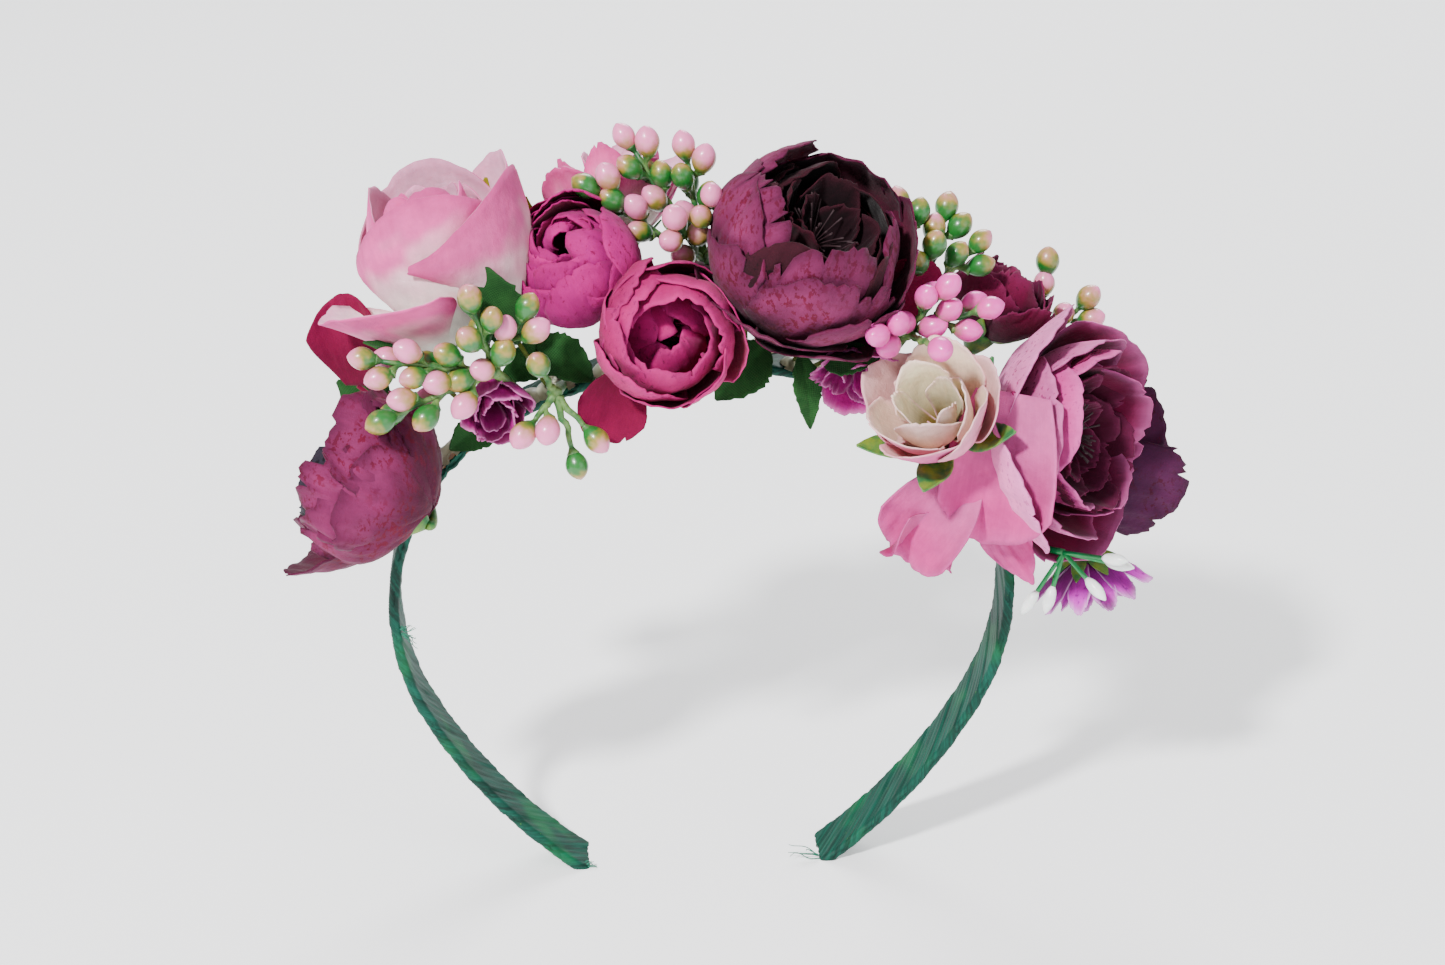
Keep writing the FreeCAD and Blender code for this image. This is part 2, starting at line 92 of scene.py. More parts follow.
def joined(surfaces: list[Surface]) -> Surface:
    """Puts several surfaces into one mesh.

    Args:
        surfaces: What to join. They stay separate shells.

    Returns:
        One surface with all of them.
    """
    starts = np.cumsum([0] + [len(s.points) for s in surfaces[:-1]])
    names = surfaces[0].values
    return Surface(
        np.concatenate([s.points for s in surfaces]),
        np.concatenate([s.quads + n for s, n in zip(surfaces, starts)]),
        np.concatenate([s.tris + n for s, n in zip(surfaces, starts)]),
        np.concatenate([s.crisp for s in surfaces]),
        np.concatenate([s.uv for s in surfaces]),
        {name: np.concatenate([s.values[name] for s in surfaces]) for name in names},
    )


def unit(vectors: np.ndarray) -> np.ndarray:
    """Scales vectors to length one.

    Args:
        vectors: Any array whose last axis is X, Y, Z.

    Returns:
        The same array with every vector one long.
    """
    return vectors / (np.linalg.norm(vectors, axis=-1, keepdims=True) + 1e-12)


def shell(middle: np.ndarray, thickness: float, values: dict[str, np.ndarray]) -> Surface:
    """Thickens grids into closed sheets of cloth.

    Each vertex of a grid becomes two, half the thickness out along the grid's normal on either
    side, and a band of flat faces closes the rim.

    Args:
        middle: Grids of points, as (sheets, rows, columns, 3). Rows run from the base to the rim.
        thickness: The cloth's thickness.
        values: The values of each grid point, as (sheets, rows, columns).

    Returns:
        One surface with a closed sheet for every grid.
    """
    sheets, rows, columns, _ = middle.shape
    normal = unit(np.cross(np.gradient(middle, axis=2), np.gradient(middle, axis=1)))
    points = np.stack([middle + normal * thickness / 2, middle - normal * thickness / 2], axis=1)
    index = np.arange(sheets * 2 * rows * columns).reshape(sheets, 2, rows, columns)
    front, back = index[:, 0], index[:, 1]

    def cells(grid: np.ndarray) -> np.ndarray:
        """Lists the four corners of each cell of the grids."""
        corners = [grid[:, :-1, :-1], grid[:, :-1, 1:], grid[:, 1:, 1:], grid[:, 1:, :-1]]
        return np.stack(corners, axis=-1).reshape(-1, 4)

    r, c = rows - 1, columns - 1
    down = np.concatenate([np.zeros(c, int), np.arange(r), np.full(c, r), np.arange(r, 0, -1)])
    over = np.concatenate([np.arange(c), np.full(r, c), np.arange(c, 0, -1), np.zeros(r, int)])
    a, b = front[:, down, over], back[:, down, over]
    rim = np.stack([a, b, np.roll(b, -1, axis=1), np.roll(a, -1, axis=1)], axis=-1).reshape(-1, 4)
    faces = np.concatenate([cells(front), cells(back)[:, ::-1], rim])
    crisp = np.zeros(len(faces), bool)
    crisp[-len(rim):] = True
    doubled = {name: np.repeat(v[:, None], 2, axis=1).ravel() for name, v in values.items()}
    doubled["inside"] = np.broadcast_to(np.array([0.0, 1.0])[None, :, None, None], index.shape).ravel()
    uv = np.stack([doubled["across"], doubled["along"]], axis=-1)
    return Surface(points.reshape(-1, 3), faces, np.zeros((0, 3), int), crisp, uv, doubled)


def tubes(paths: np.ndarray, radii: np.ndarray, sides: int, tone: np.ndarray) -> Surface:
    """Round pieces along paths, closed to a point at both ends.

    A ring of vertices stands square to the path at each of its points, and a fan of triangles
    closes each end.

    Args:
        paths: Points along each path, as (pieces, points, 3).
        radii: The radius at each of those points, as (pieces, points).
        sides: How many vertices a ring has.
        tone: One value for each piece, for the material to vary it by.

    Returns:
        One surface with a closed tube for every path.
    """
    pieces, steps, _ = paths.shape
    heading = unit(np.gradient(paths, axis=1))
    chord = unit(paths[:, -1] - paths[:, 0])
    helper = np.where(np.abs(chord[:, 2:3]) < 0.8, [[0.0, 0.0, 1.0]], [[1.0, 0.0, 0.0]])[:, None]
    side = unit(np.cross(heading, helper))
    other = np.cross(heading, side)
    angle = np.linspace(0, 2 * math.pi, sides, endpoint=False)
    ring = side[:, :, None] * np.cos(angle)[:, None] + other[:, :, None] * np.sin(angle)[:, None]
    points = paths[:, :, None] + ring * radii[:, :, None, None]
    points = points.reshape(pieces, steps * sides, 3)
    points = np.concatenate([points, paths[:, :1], paths[:, -1:]], axis=1)
    stride = steps * sides + 2
    index = np.arange(steps * sides).reshape(steps, sides)
    turned = np.roll(index, -1, axis=1)
    quads = np.stack([index[:-1], turned[:-1], turned[1:], index[1:]], axis=-1).reshape(-1, 4)
    first = np.stack([np.full(sides, stride - 2), turned[0], index[0]], axis=-1)
    last = np.stack([np.full(sides, stride - 1), index[-1], turned[-1]], axis=-1)
    offset = (np.arange(pieces) * stride)[:, None, None]
    quads = (quads[None] + offset).reshape(-1, 4)
    tris = (np.concatenate([first, last])[None] + offset).reshape(-1, 3)
    t = np.linspace(0, 1, steps)
    along = np.concatenate([np.repeat(t, sides), [0.0, 1.0]])
    across = np.concatenate([np.tile(angle / math.pi - 1, steps), [0.0, 0.0]])
    values = {
        "along": np.tile(along, pieces), "across": np.tile(across, pieces),
        "rim": np.zeros(pieces * stride), "tone": np.repeat(tone, stride),
        "inside": np.zeros(pieces * stride), "order": np.zeros(pieces * stride),
    }
    uv = np.stack([values["across"], values["along"]], axis=-1)
    return Surface(points.reshape(-1, 3), quads, tris, np.zeros(len(quads), bool), uv, values)


def make_piece(name: str, surface: Surface, material: bpy.types.Material) -> bpy.types.Object:
    """Builds the Blender object for a surface.

    Args:
        name: The object's name.
        surface: Its mesh, in millimetres in the crown's frame.
        material: What it's made of.

    Returns:
        The object, at the origin, with the surface's values as attributes.
    """
    mesh = bpy.data.meshes.new(name)
    mesh.vertices.add(len(surface.points))
    mesh.vertices.foreach_set("co", (surface.points * MM).astype(np.float32).ravel())
    corners = np.concatenate([surface.quads.ravel(), surface.tris.ravel()])
    mesh.loops.add(len(corners))
    mesh.loops.foreach_set("vertex_index", corners.astype(np.int32))
    quads, tris = len(surface.quads), len(surface.tris)
    starts = np.concatenate([np.arange(quads) * 4, quads * 4 + np.arange(tris) * 3])
    mesh.polygons.add(quads + tris)
    mesh.polygons.foreach_set("loop_start", starts.astype(np.int32))
    smooth = np.concatenate([~surface.crisp, np.ones(tris, bool)])
    mesh.update(calc_edges=True)
    mesh.polygons.foreach_set("use_smooth", smooth)
    layer = mesh.uv_layers.new(name="pattern")
    layer.data.foreach_set("uv", surface.uv[corners].astype(np.float32).ravel())
    for key, value in surface.values.items():
        attribute = mesh.attributes.new(key, "FLOAT", "POINT")
        attribute.data.foreach_set("value", value.astype(np.float32))
    mesh.materials.append(material)
    piece = bpy.data.objects.new(name, mesh)
    bpy.context.scene.collection.objects.link(piece)
    return piece


def facing_frame(facing: tuple[float, float, float], up: tuple[float, float, float]) -> np.ndarray:
    """A head's own directions.

    Args:
        facing: The way the head looks, its local Z.
        up: The way its local Y leans.

    Returns:
        Three rows: local X, Y and Z as directions in the crown's frame.
    """
    z = unit(np.array(facing, float))
    x = unit(np.cross(np.array(up, float), z))
    return np.array([x, np.cross(z, x), z])


# --- materials ----------------------------------------------------------------------------------


def srgb(code: str) -> tuple[float, float, float, float]:
    """Converts a hex colour to the linear colour that a shader takes.

    Args:
        code: A colour such as "#1c624d".

    Returns:
        Red, green, blue and an alpha of 1.
    """
    parts = [int(code[i:i + 2], 16) / 255 for i in (1, 3, 5)]
    linear = [p / 12.92 if p <= 0.04045 else ((p + 0.055) / 1.055) ** 2.4 for p in parts]
    return (*linear, 1.0)


Feed = float | tuple | bpy.types.NodeSocket


class Graph:
    """The node graph of one material."""

    def __init__(self, name: str) -> None:
        """Starts a material with one Principled surface.

        Args:
            name: The material's name.
        """
        self.material = bpy.data.materials.new(name)
        self.material.use_nodes = True
        self.tree = self.material.node_tree
        self.surface = self.tree.nodes["Principled BSDF"]

    def add(self, kind: str, inputs: dict | None = None, **settings: str) -> bpy.types.Node:
        """Adds a node.

        Args:
            kind: The node's type name without its ShaderNode prefix.
            inputs: Values or sockets for its inputs, by name or number.
            settings: Properties to set on the node.

        Returns:
            The node.
        """
        node = self.tree.nodes.new("ShaderNode" + kind)
        for key, value in settings.items():
            setattr(node, key, value)
        self.feed(node, inputs or {})
        return node

    def feed(self, node: bpy.types.Node, inputs: dict) -> None:
        """Sets or links inputs of a node.

        Args:
            node: The node to feed.
            inputs: Values or sockets for its inputs, by name or number.
        """
        for key, value in inputs.items():
            if isinstance(value, bpy.types.NodeSocket):
                self.tree.links.new(value, node.inputs[key])
            else:
                node.inputs[key].default_value = value

    def value(self, name: str) -> bpy.types.NodeSocket:
        """Reads a per-vertex value of the mesh.

        Args:
            name: The attribute's name.

        Returns:
            Its value.
        """
        return self.add("Attribute", attribute_name=name).outputs["Fac"]

    def mix(self, share: Feed, first: Feed, second: Feed) -> bpy.types.NodeSocket:
        """Blends two colours.

        Args:
            share: How much of the second, as a number or a socket.
            first: A colour or a socket.
            second: A colour or a socket.

        Returns:
            The blended colour.
        """
        return self.add("Mix", {0: share, 6: first, 7: second}, data_type="RGBA").outputs[2]

    def math(self, operation: str, *values: Feed) -> bpy.types.NodeSocket:
        """Works out one number from others.

        Args:
            operation: What to do with them.
            values: Numbers or sockets.

        Returns:
            The number.
        """
        return self.add("Math", dict(enumerate(values)), operation=operation).outputs[0]

    def ramp(self, value: bpy.types.NodeSocket, low: float, high: float,
             to: tuple[float, float] = (0.0, 1.0)) -> bpy.types.NodeSocket:
        """Maps a value smoothly from one range to another.

        Args:
            value: The socket to read.
            low: Where the ramp starts.
            high: Where it ends.
            to: What it goes from and to.

        Returns:
            The mapped value.
        """
        inputs = {"Value": value, "From Min": low, "From Max": high, "To Min": to[0], "To Max": to[1]}
        return self.add("MapRange", inputs, interpolation_type="SMOOTHSTEP").outputs["Result"]

    def noise(self, size: float, detail: float = 3.0, place: bpy.types.NodeSocket | None = None,
              stretch: tuple[float, float, float] | None = None) -> bpy.types.NodeSocket:
        """Cloudy noise with features of a real size.

        Args:
            size: How far apart its features are, in millimetres, or in pattern units with place.
            detail: How many finer octaves it has.
            place: The coordinates to read, when they aren't the object's own.
            stretch: How much finer it is along each axis.

        Returns:
            The noise, from 0 to 1.
        """
        if place is None:
            place = self.add("TexCoord").outputs["Object"]
            size = size * MM
        if stretch is not None:
            place = self.add("Mapping", {"Vector": place, "Scale": stretch}).outputs["Vector"]
        inputs = {"Vector": place, "Scale": 1 / size, "Detail": detail, "Roughness": 0.6}
        return self.add("TexNoise", inputs).outputs["Fac"]

    def pattern(self) -> bpy.types.NodeSocket:
        """Reads the piece's own pattern coordinates.

        Returns:
            Across and along the piece.
        """
        return self.add("UVMap", uv_map="pattern").outputs["UV"]

    def bumped(self, heights: list[tuple]) -> None:
        """Gives the surface relief.

        Args:
            heights: Pairs of a height socket and how far it stands out, in millimetres.
        """
        normal = None
        for height, depth in heights:
            inputs = {"Height": height, "Distance": depth * MM, "Strength": 1.0}
            if normal is not None:
                inputs["Normal"] = normal
            normal = self.add("Bump", inputs).outputs["Normal"]
        self.feed(self.surface, {"Normal": normal})


@dataclass(frozen=True)
class PetalCloth:
    """Stiffened polyester cloth, printed and pressed into petals.

    Attributes:
        name: The material's name.
        outside: The back of the petal, which faces outwards.
        base: The back of the petal near its base.
        rim: The petal's edge.
        inside: The face of the petal, towards the heart.
        heart: The face of the petal near its base.
        speckle: The colour of printed specks and scratches.
        speckled: How much of the back they cover, from 0 to 1.
        rim_share: How strongly the edge is coloured.
        side_share: How far the outside colour also comes in from the sides.
        first: The back of the outermost petals, when it differs.
        first_face: The face of the outermost petals, when it differs.
    """

    name: str
    outside: str
    # heart: The face of the petal near its base; on most cloths darker than the face, as painted shade deep
    # in the flower.
    base: str
    rim: str
    inside: str
    heart: str
    speckle: str = "#8c1f45"
    speckled: float = 0.0
    rim_share: float = 0.6
    side_share: float = 0.0
    first: str | None = None
    first_face: str | None = None

    def make(self) -> bpy.types.Material:
        """Builds the material.

        Returns:
            A matt cloth with a soft sheen, fine grain, creases along the petal, printed specks and painted
            shade at the heart of its face.
        """
        g = Graph(self.name)
        along, inside, pattern = g.value("along"), g.value("inside"), g.pattern()
        aside = g.math("POWER", g.value("across"), 2.0)
        spread = g.math("MULTIPLY_ADD", aside, self.side_share, along)
        spread = g.math("ADD", spread, g.ramp(g.noise(9.0, 1.0), 0.3, 0.7, (-0.1, 0.1)))
        back = g.mix(g.ramp(spread, 0.25, 0.9), srgb(self.base), srgb(self.outside))
        if self.first:
            back = g.mix(g.ramp(g.value("order"), 0.1, 0.6), srgb(self.first), back)
        if self.speckled:
            blot = g.noise(1.1, 6.0, stretch=(1.0, 1.0, 0.6))
            edge = 0.62 - 0.12 * self.speckled
            spots = g.ramp(blot, edge, edge + 0.04, (0.0, 0.85))
            where = g.ramp(g.noise(11.0, 2.0), 0.36, 0.56)
            specks = g.math("MULTIPLY", spots, where)
            back = g.mix(specks, back, srgb(self.speckle))
        # Painted shade deep in the flower: the face runs from the heart colour at its base, mostly darker,
        # to the inside colour.
        face = g.mix(g.ramp(along, 0.1, 0.8), srgb(self.heart), srgb(self.inside))
        if self.first_face:
            face = g.mix(g.ramp(g.value("order"), 0.0, 0.45), srgb(self.first_face), face)
        colour = g.mix(inside, back, face)
        edge_share = g.ramp(g.value("rim"), 0.15, 1.0, (0.0, self.rim_share))
        colour = g.mix(edge_share, colour, srgb(self.rim))
        veins = g.noise(0.05, 3.0, place=pattern, stretch=(1.0, 0.12, 1.0))
        shade = g.ramp(veins, 0.25, 0.75, (0.95, 1.03))
        tone = g.ramp(g.value("tone"), 0.0, 1.0, (0.86, 1.12))
        value = g.math("MULTIPLY", shade, tone)
        blotch = g.ramp(g.noise(5.0, 4.0), 0.3, 0.7, (0.88, 1.1))
        value = g.math("MULTIPLY", value, blotch)
        colour = g.add("HueSaturation", {"Value": value, "Color": colour}).outputs["Color"]
        g.feed(g.surface, {
            "Base Color": colour, "Roughness": 0.8, "Specular IOR Level": 0.12,
            "Sheen Weight": 0.06, "Sheen Roughness": 0.5,
            "Subsurface Weight": 0.12, "Subsurface Radius": (0.9, 0.35, 0.4), "Subsurface Scale": 0.0012,
        })
        g.bumped([(veins, 0.06), (g.noise(2.6, 4.0), 0.32), (g.noise(0.25, 2.0), 0.05)])
        return g.material


@dataclass(frozen=True)
class LeafCloth:
    """Woven leaf cloth, dyed dark green.

    Attributes:
        name: The material's name.
        colour: The dye.
        worn: The dye where it's thin.
        olive: The dye of the paler leaves.
    """

    name: str
    colour: str
    worn: str
    olive: str

    def make(self) -> bpy.types.Material:
        """Builds the material.

        Returns:
            A cloth with the weave of its threads and a pressed midrib.
        """
        g = Graph(self.name)
        pattern = g.pattern()
        threads = []
        for scale, direction in ((7.0, "X"), (14.0, "Y")):
            inputs = {"Vector": pattern, "Scale": scale, "Distortion": 0.6, "Detail": 1.0}
            threads.append(g.add("TexWave", inputs, bands_direction=direction).outputs["Fac"])
        grid = g.math("ADD", *threads)
        colour = g.mix(g.ramp(grid, 0.3, 1.7, (0.0, 0.45)), srgb(self.colour), srgb(self.worn))
        colour = g.mix(g.ramp(g.noise(5.0, 3.0), 0.35, 0.75, (0.0, 0.5)), colour, srgb(self.worn))
        colour = g.mix(g.value("order"), colour, srgb(self.olive))
        g.feed(g.surface, {
            "Base Color": colour, "Roughness": 0.8, "Specular IOR Level": 0.12, "Sheen Weight": 0.05,
        })
        g.bumped([(g.noise(2.5, 2.0), 0.15), (grid, 0.03)])
        return g.material


@dataclass(frozen=True)
class LacqueredFoam:
    """Foam berries, sprayed green at the stalk and pink at the tip, then lacquered.

    Attributes:
        name: The material's name.
        stalk_end: The colour at the stalk.
        middle: The colour between.
        tip: The colour at the tip.
        green_share: How far the green varies from berry to berry.
    """

    name: str
    stalk_end: str
    middle: str
    tip: str
    green_share: float

    def make(self) -> bpy.types.Material:
        """Builds the material.

        Returns:
            A glossy coat over a colour that runs from the stalk to the tip, unlike on each berry.
        """
        g = Graph(self.name)
        along, tone = g.value("along"), g.value("tone")
        cloud = g.ramp(g.noise(3.0, 2.0), 0.3, 0.7, (-0.14, 0.14))
        reach = g.ramp(tone, 0.0, 1.0, (self.green_share * 0.6, -self.green_share * 1.4))
        place = g.math("ADD", along, cloud)
        place = g.math("ADD", place, reach)
        lower = g.mix(g.ramp(place, 0.02, 0.42), srgb(self.stalk_end), srgb(self.middle))
        colour = g.mix(g.ramp(place, 0.26, 0.85), lower, srgb(self.tip))
        g.feed(g.surface, {
            "Base Color": colour, "Roughness": 0.34, "Specular IOR Level": 0.5,
            "Coat Weight": 0.35, "Coat Roughness": 0.12,
            "Subsurface Weight": 0.18, "Subsurface Radius": (1.0, 0.5, 0.5), "Subsurface Scale": 0.0015,
        })
        g.bumped([(g.noise(1.1, 2.0), 0.05)])
        return g.material


@dataclass(frozen=True)
class Moulded:
    """Moulded plastic, such as twigs, calyces and white buds.

    Attributes:
        name: The material's name.
        colour: Its dye.
        second: The dye's other shade.
        roughness: Its roughness.
    """

    name: str
    colour: str
    second: str
    roughness: float

    def make(self) -> bpy.types.Material:
        """Builds the material.

        Returns:
            A plastic with cloudy dye and a faintly uneven skin.
        """
        g = Graph(self.name)
        colour = g.mix(g.ramp(g.noise(4.0, 3.0), 0.35, 0.7), srgb(self.colour), srgb(self.second))
        g.feed(g.surface, {
            "Base Color": colour, "Roughness": self.roughness, "Subsurface Weight": 0.1,
            "Subsurface Scale": 0.001,
        })
        g.bumped([(g.noise(0.8, 2.0), 0.06)])
        return g.material


@dataclass(frozen=True)
class CrepeTape:
    """Waxed crepe tape wound on at a slant.

    Attributes:
        name: The material's name.
        colour: Its dye.
        shade: Painted shade: the colour put in the crepe's creases and under each lap.
        bright: The dye where the wax is thin.
        fleck: The worn flecks.
    """

    name: str
    colour: str
    shade: str
    bright: str
    fleck: str

    def make(self) -> bpy.types.Material:
        """Builds the material.

        Returns:
            A slightly shiny crepe with fine creases along the band, painted shade in them and under each
            lap, and a few worn flecks.
        """
        g = Graph(self.name)
        pattern = g.pattern()
        crepe = g.noise(1.2, 4.0, place=pattern, stretch=(1.0, 0.12, 1.0))
        fine = g.noise(0.3, 2.0, place=pattern, stretch=(1.0, 0.25, 1.0))
        # Painted shade: the low parts of the crepe noise take the shade colour, darkening the creases.
        colour = g.mix(g.ramp(crepe, 0.3, 0.72), srgb(self.shade), srgb(self.colour))
        colour = g.mix(g.ramp(g.noise(14.0, 2.0), 0.5, 0.75, (0.0, 0.5)), colour, srgb(self.bright))
        # Painted shade under each lap: the tape darkens where it sinks under the edge of the next turn.
        lap = g.ramp(g.value("rim"), 0.0, 0.2, (0.55, 0.0))
        colour = g.mix(lap, colour, srgb(self.shade))
        flecks = g.ramp(g.noise(0.9, 4.0), 0.7, 0.74, (0.0, 0.6))
        colour = g.mix(flecks, colour, srgb(self.fleck))
        g.feed(g.surface, {
            "Base Color": colour, "Roughness": 0.55, "Specular IOR Level": 0.2,
        })
        g.bumped([(crepe, 0.12), (fine, 0.04)])
        return g.material


@dataclass(frozen=True)
class PlainStuff:
    """A material of one even colour.

    Attributes:
        name: The material's name.
        colour: Its colour.
        roughness: Its roughness.
        transmission: How much light goes through it.
        glow: How strongly it's lit from behind.
    """

    name: str
    colour: str
    roughness: float
    transmission: float = 0.0
    glow: float = 0.0

    def make(self) -> bpy.types.Material:
        """Builds the material.

        Returns:
            An even surface.
        """
        g = Graph(self.name)
        g.feed(g.surface, {
            "Base Color": srgb(self.colour), "Roughness": self.roughness,
            "Transmission Weight": self.transmission,
            "Emission Color": srgb(self.colour), "Emission Strength": self.glow,
        })
        return g.material


class Finishes:
    """Every material of the crown, made once."""

    SPECS = {
        # Polyester petal cloth.
        "mauve_petals": PetalCloth(
            "mauve petal cloth", "#762650", "#4a0e2c", "#3c0826", "#480824", "#260212", "#5c0420", 0.8,
            0.65),
        "burgundy_petals": PetalCloth(
            "burgundy petal cloth", "#2c0814", "#120308", "#3c0e1e", "#16040a", "#080204", "#0c0304", 0.3,
            0.4),
        "grey_petals": PetalCloth(
            "grey petal cloth", "#29242f", "#18131c", "#1c1720", "#1c1822", "#0c090e", "#0c090e", 0.3, 0.3),
        "blush_petals": PetalCloth(
            "blush petal cloth", "#da5698", "#f9f3e8", "#b02c74", "#e8b4cc", "#f7efe0", "#be3476", 0.0,
            0.45, 0.6),
        "cream_petals": PetalCloth(
            "cream petal cloth", "#f2dcd0", "#ecc8b8", "#e0a8b4", "#f4e8c0", "#5c4a1c", "#e39abb", 0.0,
            0.45, 0.0,
            "#d8609a", "#e8b8b4"),
        "pink_petals": PetalCloth(
            "pink petal cloth", "#ae1474", "#78084c", "#9c0e62", "#70043a", "#400220", "#740438", 0.25,
            0.4),
        "crimson_petals": PetalCloth(
            "crimson petal cloth", "#a00a5a", "#6c0438", "#b82c7c", "#780434", "#48021e", "#500224", 0.25,
            0.4),
        "turned_petals": PetalCloth(
            "turned petal cloth", "#7c0238", "#68022c", "#6c0232", "#740236", "#5c0228", "#500226", 0.3,
            0.3),
        "rose_petals": PetalCloth(
            "rose petal cloth", "#c43a88", "#921c60", "#cc70b0", "#600330", "#300218", "#8c1458", 0.3, 0.3,
            0.0,
            "#d874ac"),
        "skirt_petals": PetalCloth(
            "skirt petal cloth", "#b01468", "#8c0850", "#d060a4", "#c83c88", "#c85c98", "#ac3478", 0.35,
            0.35),
        "wine_petals": PetalCloth(
            "wine petal cloth", "#5c042e", "#34021a", "#8c2c60", "#400220", "#1a010c", "#2c0110", 0.2,
            0.25),
        "plum_petals": PetalCloth(
            "plum petal cloth", "#48163c", "#2c0a28", "#280820", "#3a0c28", "#1a0412", "#400420", 0.6,
            0.45),
        "lilac_petals": PetalCloth(
            "lilac petal cloth", "#b828b0", "#7c1078", "#e0bce0", "#a01896", "#5c0458", "#7c1078", 0.1,
            0.5),
        "magenta_petals": PetalCloth(
            "magenta petal cloth", "#b40a88", "#7c0460", "#ecc4e4", "#a4087c", "#460228", "#740454", 0.0,
            0.22),
        # Woven cotton leaf cloth.
        "leaf_fabric": LeafCloth("leaf cloth", "#0e3414", "#2c5c2a", "#8c8a1c"),
        # Lacquered polystyrene foam.
        "pale_berries": LacqueredFoam("pale berry foam", "#1c6a26", "#9c8432", "#e67cae", 0.42),
        "vivid_berries": LacqueredFoam("vivid berry foam", "#5a8a34", "#d84c9c", "#e648ae", 0.08),
        # Moulded polyethylene.
        "twig_plastic": Moulded("twig plastic", "#1f5c2a", "#6f8f4c", 0.45),
        "calyx_plastic": Moulded("calyx plastic", "#1c6a34", "#6f8f24", 0.5),
        "bright_stalk": Moulded("bright stalk plastic", "#048040", "#109a50", 0.4),
        "white_plastic": Moulded("white bud plastic", "#fafcfb", "#dfe8e2", 0.3),
        # Waxed crepe paper.
        "floral_tape": CrepeTape("floral tape", "#045040", "#02261e", "#08723c", "#4f8a1e"),
        # Moulded strip, stamen thread and hot glue.
        "strip_plastic": PlainStuff("strip plastic", "#c97a2b", 0.4),
        "stamen_thread": PlainStuff("stamen thread", "#2a1018", 0.7),
        "hot_glue": PlainStuff("hot glue", "#b9b89c", 0.3, 0.75),
        "loose_thread": PlainStuff("loose thread", "#0f6b52", 0.7),
    }

    def __init__(self) -> None:
        """Makes no material until it's asked for."""
        self.made: dict[str, bpy.types.Material] = {}

    def __getitem__(self, key: str) -> bpy.types.Material:
        """Finds or makes a material.

        Args:
            key: Its key in SPECS.

        Returns:
            The material.
        """
        if key not in self.made:
            self.made[key] = self.SPECS[key].make()
        return self.made[key]


FINISHES = Finishes()


def fit(piece: bpy.types.Object, body: str, nodes: list[str]) -> None:
    """Ties a finished piece to the frame.

    Args:
        piece: The piece.
        body: The CAD body it moves with.
        nodes: The CAD nodes it stands for.
    """
    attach(piece, body)
    if nodes:
        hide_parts(*nodes)
    LOG.info("%s rides on %s and stands for %s", piece.name, body, ", ".join(nodes) or "nothing")


# --- petals -------------------------------------------------------------------------------------


@dataclass(frozen=True)
class Whorl:
    """A ring of like petals round a head's axis, in millimetres and degrees.

    Attributes:
        count: How many petals.
        start: How far from the axis each begins.
        height: How high on the axis each begins.
        length: A petal's length along its middle.
        width: Its greatest width.
        lean: Its lean from the axis at the base, the middle and the rim. 90 is straight outwards.
        turn: The direction of the first petal, from the head's X towards its Y.
        spread: The arc that the petals share. 360 is all round.
        wrap: How flat a petal is across, against the circle it stands on. 1 follows the circle.
        corner: How far the rim falls from its middle to its corners, as a share of the length.
        point: The power of that fall. 1 is a straight-sided point, and 3 a square end.
        roll: How far the rim rolls outwards.
        ruffle: How far the rim waves.
        crumple: How far the whole petal is crumpled.
        ragged: How torn the rim is, as a share of the length.
        neck: The base's share of the width.
        lap: How much nearer the axis one side lies than the other, so that petals lap.
    """

    count: int
    start: float
    height: float
    length: float
    width: float
    lean: tuple[float, float, float]
    turn: float = 0.0
    spread: float = 360.0
    wrap: float = 1.0
    corner: float = 0.3
    point: float = 2.4
    roll: float = 0.8
    ruffle: float = 0.5
    crumple: float = 0.35
    ragged: float = 0.02
    neck: float = 0.35
    lap: float = 1.6


